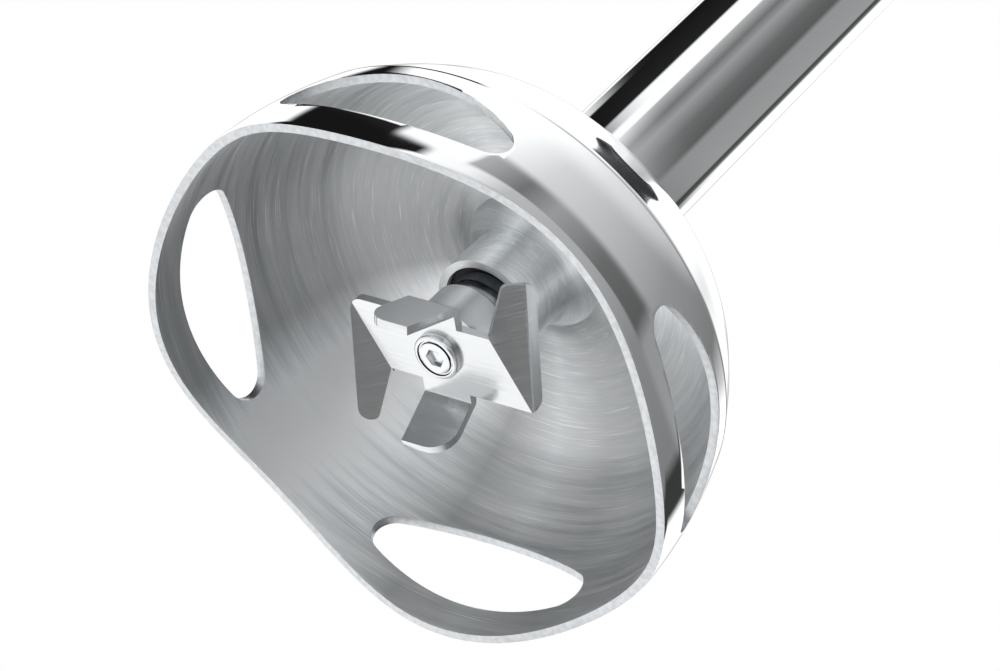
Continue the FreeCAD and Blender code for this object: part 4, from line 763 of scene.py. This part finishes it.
# Brightness of the studio round the horizon, as degrees and level, for five bands of height.
OVERHEAD = [(-180, 1.3), (-90, 1.3), (-50, 0.95), (10, 0.7), (50, 0.85), (80, 1.3)]
SIDES = [(-180, 0.01), (-125, 0.02), (-121, 1.3), (-92, 1.3), (-90, 0.55), (-70, 0.21),
         (-55, 0.41), (-29, 0.18), (-15, 0.15), (-2, 0.13), (6, 0.37), (55, 0.4), (59, 0.06),
         (68, 0.16), (74, 1.3), (160, 1.3), (167, 0.01)]
LOW_SIDES = [(-180, 1.3), (-172, 1.3), (-167, 0.01), (-108, 0.01), (-103, 1.3), (-88, 1.2),
             (-70, 0.62), (-40, 0.5), (0, 0.3), (52, 0.26), (60, 0.05), (78, 0.05), (84, 1.3)]
HIGH_SIDES = [(-180, 1.3), (-98, 1.3), (-70, 0.85), (-30, 0.6), (10, 0.36), (62, 0.24),
              (84, 0.8), (105, 1.3)]
BELOW = [(-180, 1.3), (-130, 1.2), (-75, 1.3), (-45, 0.9), (-22, 0.2), (2, 0.28), (22, 0.6),
         (70, 0.9), (100, 1.3), (135, 1.5), (180, 1.3)]
# Degrees above the horizon between which one band passes into the next.
GROUND_EDGE = (-22, -8)
LOW_EDGE = (43, 45)
HIGH_EDGE = (50, 54)
TOP_EDGE = (64, 72)
# Grey card behind the object: degrees from the camera's way where it fades in and is full.
CARD = (17, 7)
CARD_LEVEL = 0.4
# Lights: place in metres, width and power.
KEY_LIGHT = ((-0.9, -1.1, 1.3), 0.9, 12.0)
FILL_LIGHT = ((1.2, 0.7, 0.9), 0.9, 6.0)
LIGHT_TARGET = (0, 0, 0.1)


def studio_world():
    """A white studio: the camera sees plain white, the object sees cards and softboxes."""
    world = bpy.data.worlds.new("studio")
    world.use_nodes = True
    tree = world.node_tree
    tree.nodes.clear()
    way = node(tree, "ShaderNodeTexCoord").outputs["Generated"]
    x, y, z = node(tree, "ShaderNodeSeparateXYZ", {0: way}).outputs
    turn = node(tree, "ShaderNodeMath", {0: y, 1: x}, operation="ARCTAN2")
    azimuth = whole_turn(tree, turn)
    sides = ring_ramp(tree, azimuth, SIDES)
    low_sides = ring_ramp(tree, azimuth, LOW_SIDES)
    below = ring_ramp(tree, azimuth, BELOW)
    high_sides = ring_ramp(tree, azimuth, HIGH_SIDES)
    overhead = ring_ramp(tree, azimuth, OVERHEAD)
    rise = node(tree, "ShaderNodeMath", {0: z}, operation="ARCSINE").outputs[0]

    def blend(first, second, low, high):
        share = node(tree, "ShaderNodeMapRange", {
            "Value": rise, "From Min": math.radians(low), "From Max": math.radians(high)},
            interpolation_type="SMOOTHSTEP")
        return node(tree, "ShaderNodeMix", {0: share.outputs["Result"], 6: first, 7: second},
                    data_type="RGBA").outputs[2]

    walls = blend(blend(low_sides, sides, *LOW_EDGE), high_sides, *HIGH_EDGE)
    shown = blend(blend(below, walls, *GROUND_EDGE), overhead, *TOP_EDGE)
    facing = node(tree, "ShaderNodeVectorMath", {0: way, 1: VIEW_WAY}, operation="DOT_PRODUCT")
    rim = node(tree, "ShaderNodeMapRange", {"Value": facing.outputs["Value"],
                                            "From Min": math.cos(math.radians(CARD[0])),
                                            "From Max": math.cos(math.radians(CARD[1]))})
    shown = node(tree, "ShaderNodeMix", {0: rim.outputs["Result"], 6: shown, 7: grey(CARD_LEVEL)},
                 data_type="RGBA").outputs[2]
    camera = node(tree, "ShaderNodeLightPath").outputs["Is Camera Ray"]
    final = node(tree, "ShaderNodeMix", {0: camera, 6: shown, 7: grey(1.0)}, data_type="RGBA")
    light = node(tree, "ShaderNodeBackground", {"Color": final.outputs[2], "Strength": 1.0})
    node(tree, "ShaderNodeOutputWorld", {"Surface": light.outputs[0]})
    return world


def floor_material():
    """White table top that only shows from above, so that it throws nothing back up."""
    material = bpy.data.materials.new("white_table")
    material.use_nodes = True
    tree = material.node_tree
    tree.nodes.clear()
    camera = node(tree, "ShaderNodeLightPath").outputs["Is Camera Ray"]
    back = node(tree, "ShaderNodeNewGeometry").outputs["Backfacing"]
    front = node(tree, "ShaderNodeMath", {0: 1.0, 1: back}, operation="SUBTRACT")
    seen = node(tree, "ShaderNodeMath", {0: camera, 1: front.outputs[0]}, operation="MULTIPLY")
    clear = node(tree, "ShaderNodeBsdfTransparent")
    white = node(tree, "ShaderNodeBsdfDiffuse", {"Color": linear("#f2f2f1")})
    mixed = node(tree, "ShaderNodeMixShader", {0: seen.outputs[0], 1: clear.outputs[0],
                                               2: white.outputs[0]})
    node(tree, "ShaderNodeOutputMaterial", {"Surface": mixed.outputs[0]})
    return material


def soft_light(name, position, size, power):
    """A round soft light that shows in no reflection."""
    light = bpy.data.lights.new(name, "AREA")
    light.shape = "DISK"
    light.size = size
    light.energy = power
    lamp = bpy.data.objects.new(name, light)
    lamp.location = position
    aim = Vector(LIGHT_TARGET) - Vector(position)
    lamp.rotation_euler = aim.to_track_quat("-Z", "Y").to_euler()
    lamp.visible_glossy = False
    bpy.context.scene.collection.objects.link(lamp)


class BLENDER_PG_stage(bpy.types.PropertyGroup):
    lens: FloatProperty(name="Lens", description="Focal length on a 36 mm wide sensor",
                        default=106.43)
    floor_size: FloatProperty(name="Floor", description="Width of the table top", default=40.0,
                              unit="LENGTH")


class BLENDER_OT_stage(bpy.types.Operator):
    """Set the table top, the studio light and the camera"""
    bl_idname = "blender_foot.stage"
    bl_label = "Stage"

    def execute(self, context):
        stage = context.scene.blender_stage
        context.scene.world = studio_world()
        context.scene.view_settings.view_transform = "Standard"
        bm = bmesh.new()
        bmesh.ops.create_grid(bm, x_segments=1, y_segments=1, size=stage.floor_size / 2)
        mesh = bpy.data.meshes.new("table_top")
        bm.to_mesh(mesh)
        bm.free()
        mesh.materials.append(floor_material())
        table = bpy.data.objects.new("table_top", mesh)
        context.scene.collection.objects.link(table)
        soft_light("key_light", *KEY_LIGHT)
        soft_light("fill_light", *FILL_LIGHT)
        lens = bpy.data.cameras.new("view")
        lens.lens = stage.lens
        lens.sensor_width = 36.0
        lens.clip_start = 0.01
        view = bpy.data.objects.new("view", lens)
        axes = (Vector(VIEW_RIGHT), -Vector(VIEW_DOWN), -Vector(VIEW_WAY))
        turn = Matrix(axes).transposed().to_4x4()
        view.matrix_world = Matrix.Translation(VIEW_PLACE) @ turn
        context.scene.collection.objects.link(view)
        context.scene.camera = view
        return {"FINISHED"}


OPERATORS = [BLENDER_OT_bell, BLENDER_OT_tube, BLENDER_OT_blade, BLENDER_OT_hub,
             BLENDER_OT_collar, BLENDER_OT_housing, BLENDER_OT_controls, BLENDER_OT_stage]


class BLENDER_PT_panel(bpy.types.Panel):
    """Lists the steps that build the blender's looks"""
    bl_idname = "BLENDER_PT_stick_blender"
    bl_label = "Immersion Blender"
    bl_space_type = "VIEW_3D"
    bl_region_type = "UI"
    bl_category = "Blender"

    def draw(self, context):
        for operator in OPERATORS:
            self.layout.operator(operator.bl_idname)


GROUPS = {"blender_bell": BLENDER_PG_bell, "blender_foot": BLENDER_PG_foot,
          "blender_handle": BLENDER_PG_handle,
          "blender_stage": BLENDER_PG_stage}


def register():
    for group in GROUPS.values():
        bpy.utils.register_class(group)
    for operator in OPERATORS:
        bpy.utils.register_class(operator)
    bpy.utils.register_class(BLENDER_PT_panel)
    for name, group in GROUPS.items():
        setattr(bpy.types.Scene, name, PointerProperty(type=group))


def unregister():
    for name in GROUPS:
        delattr(bpy.types.Scene, name)
    bpy.utils.unregister_class(BLENDER_PT_panel)
    for operator in reversed(OPERATORS):
        bpy.utils.unregister_class(operator)
    for group in reversed(list(GROUPS.values())):
        bpy.utils.unregister_class(group)


def main():
    register()
    FINISH.update(finishes())
    for part in frame["record"]["subparts"]:
        dress(part["node"], FINISH[part["material_slot"]])
    bpy.ops.blender_foot.bell()
    bpy.ops.blender_foot.tube()
    bpy.ops.blender_foot.blade()
    bpy.ops.blender_foot.hub()
    bpy.ops.blender_foot.collar()
    bpy.ops.blender_foot.housing()
    bpy.ops.blender_foot.controls()
    bpy.ops.blender_foot.stage()


if __name__ == "__main__":
    main()
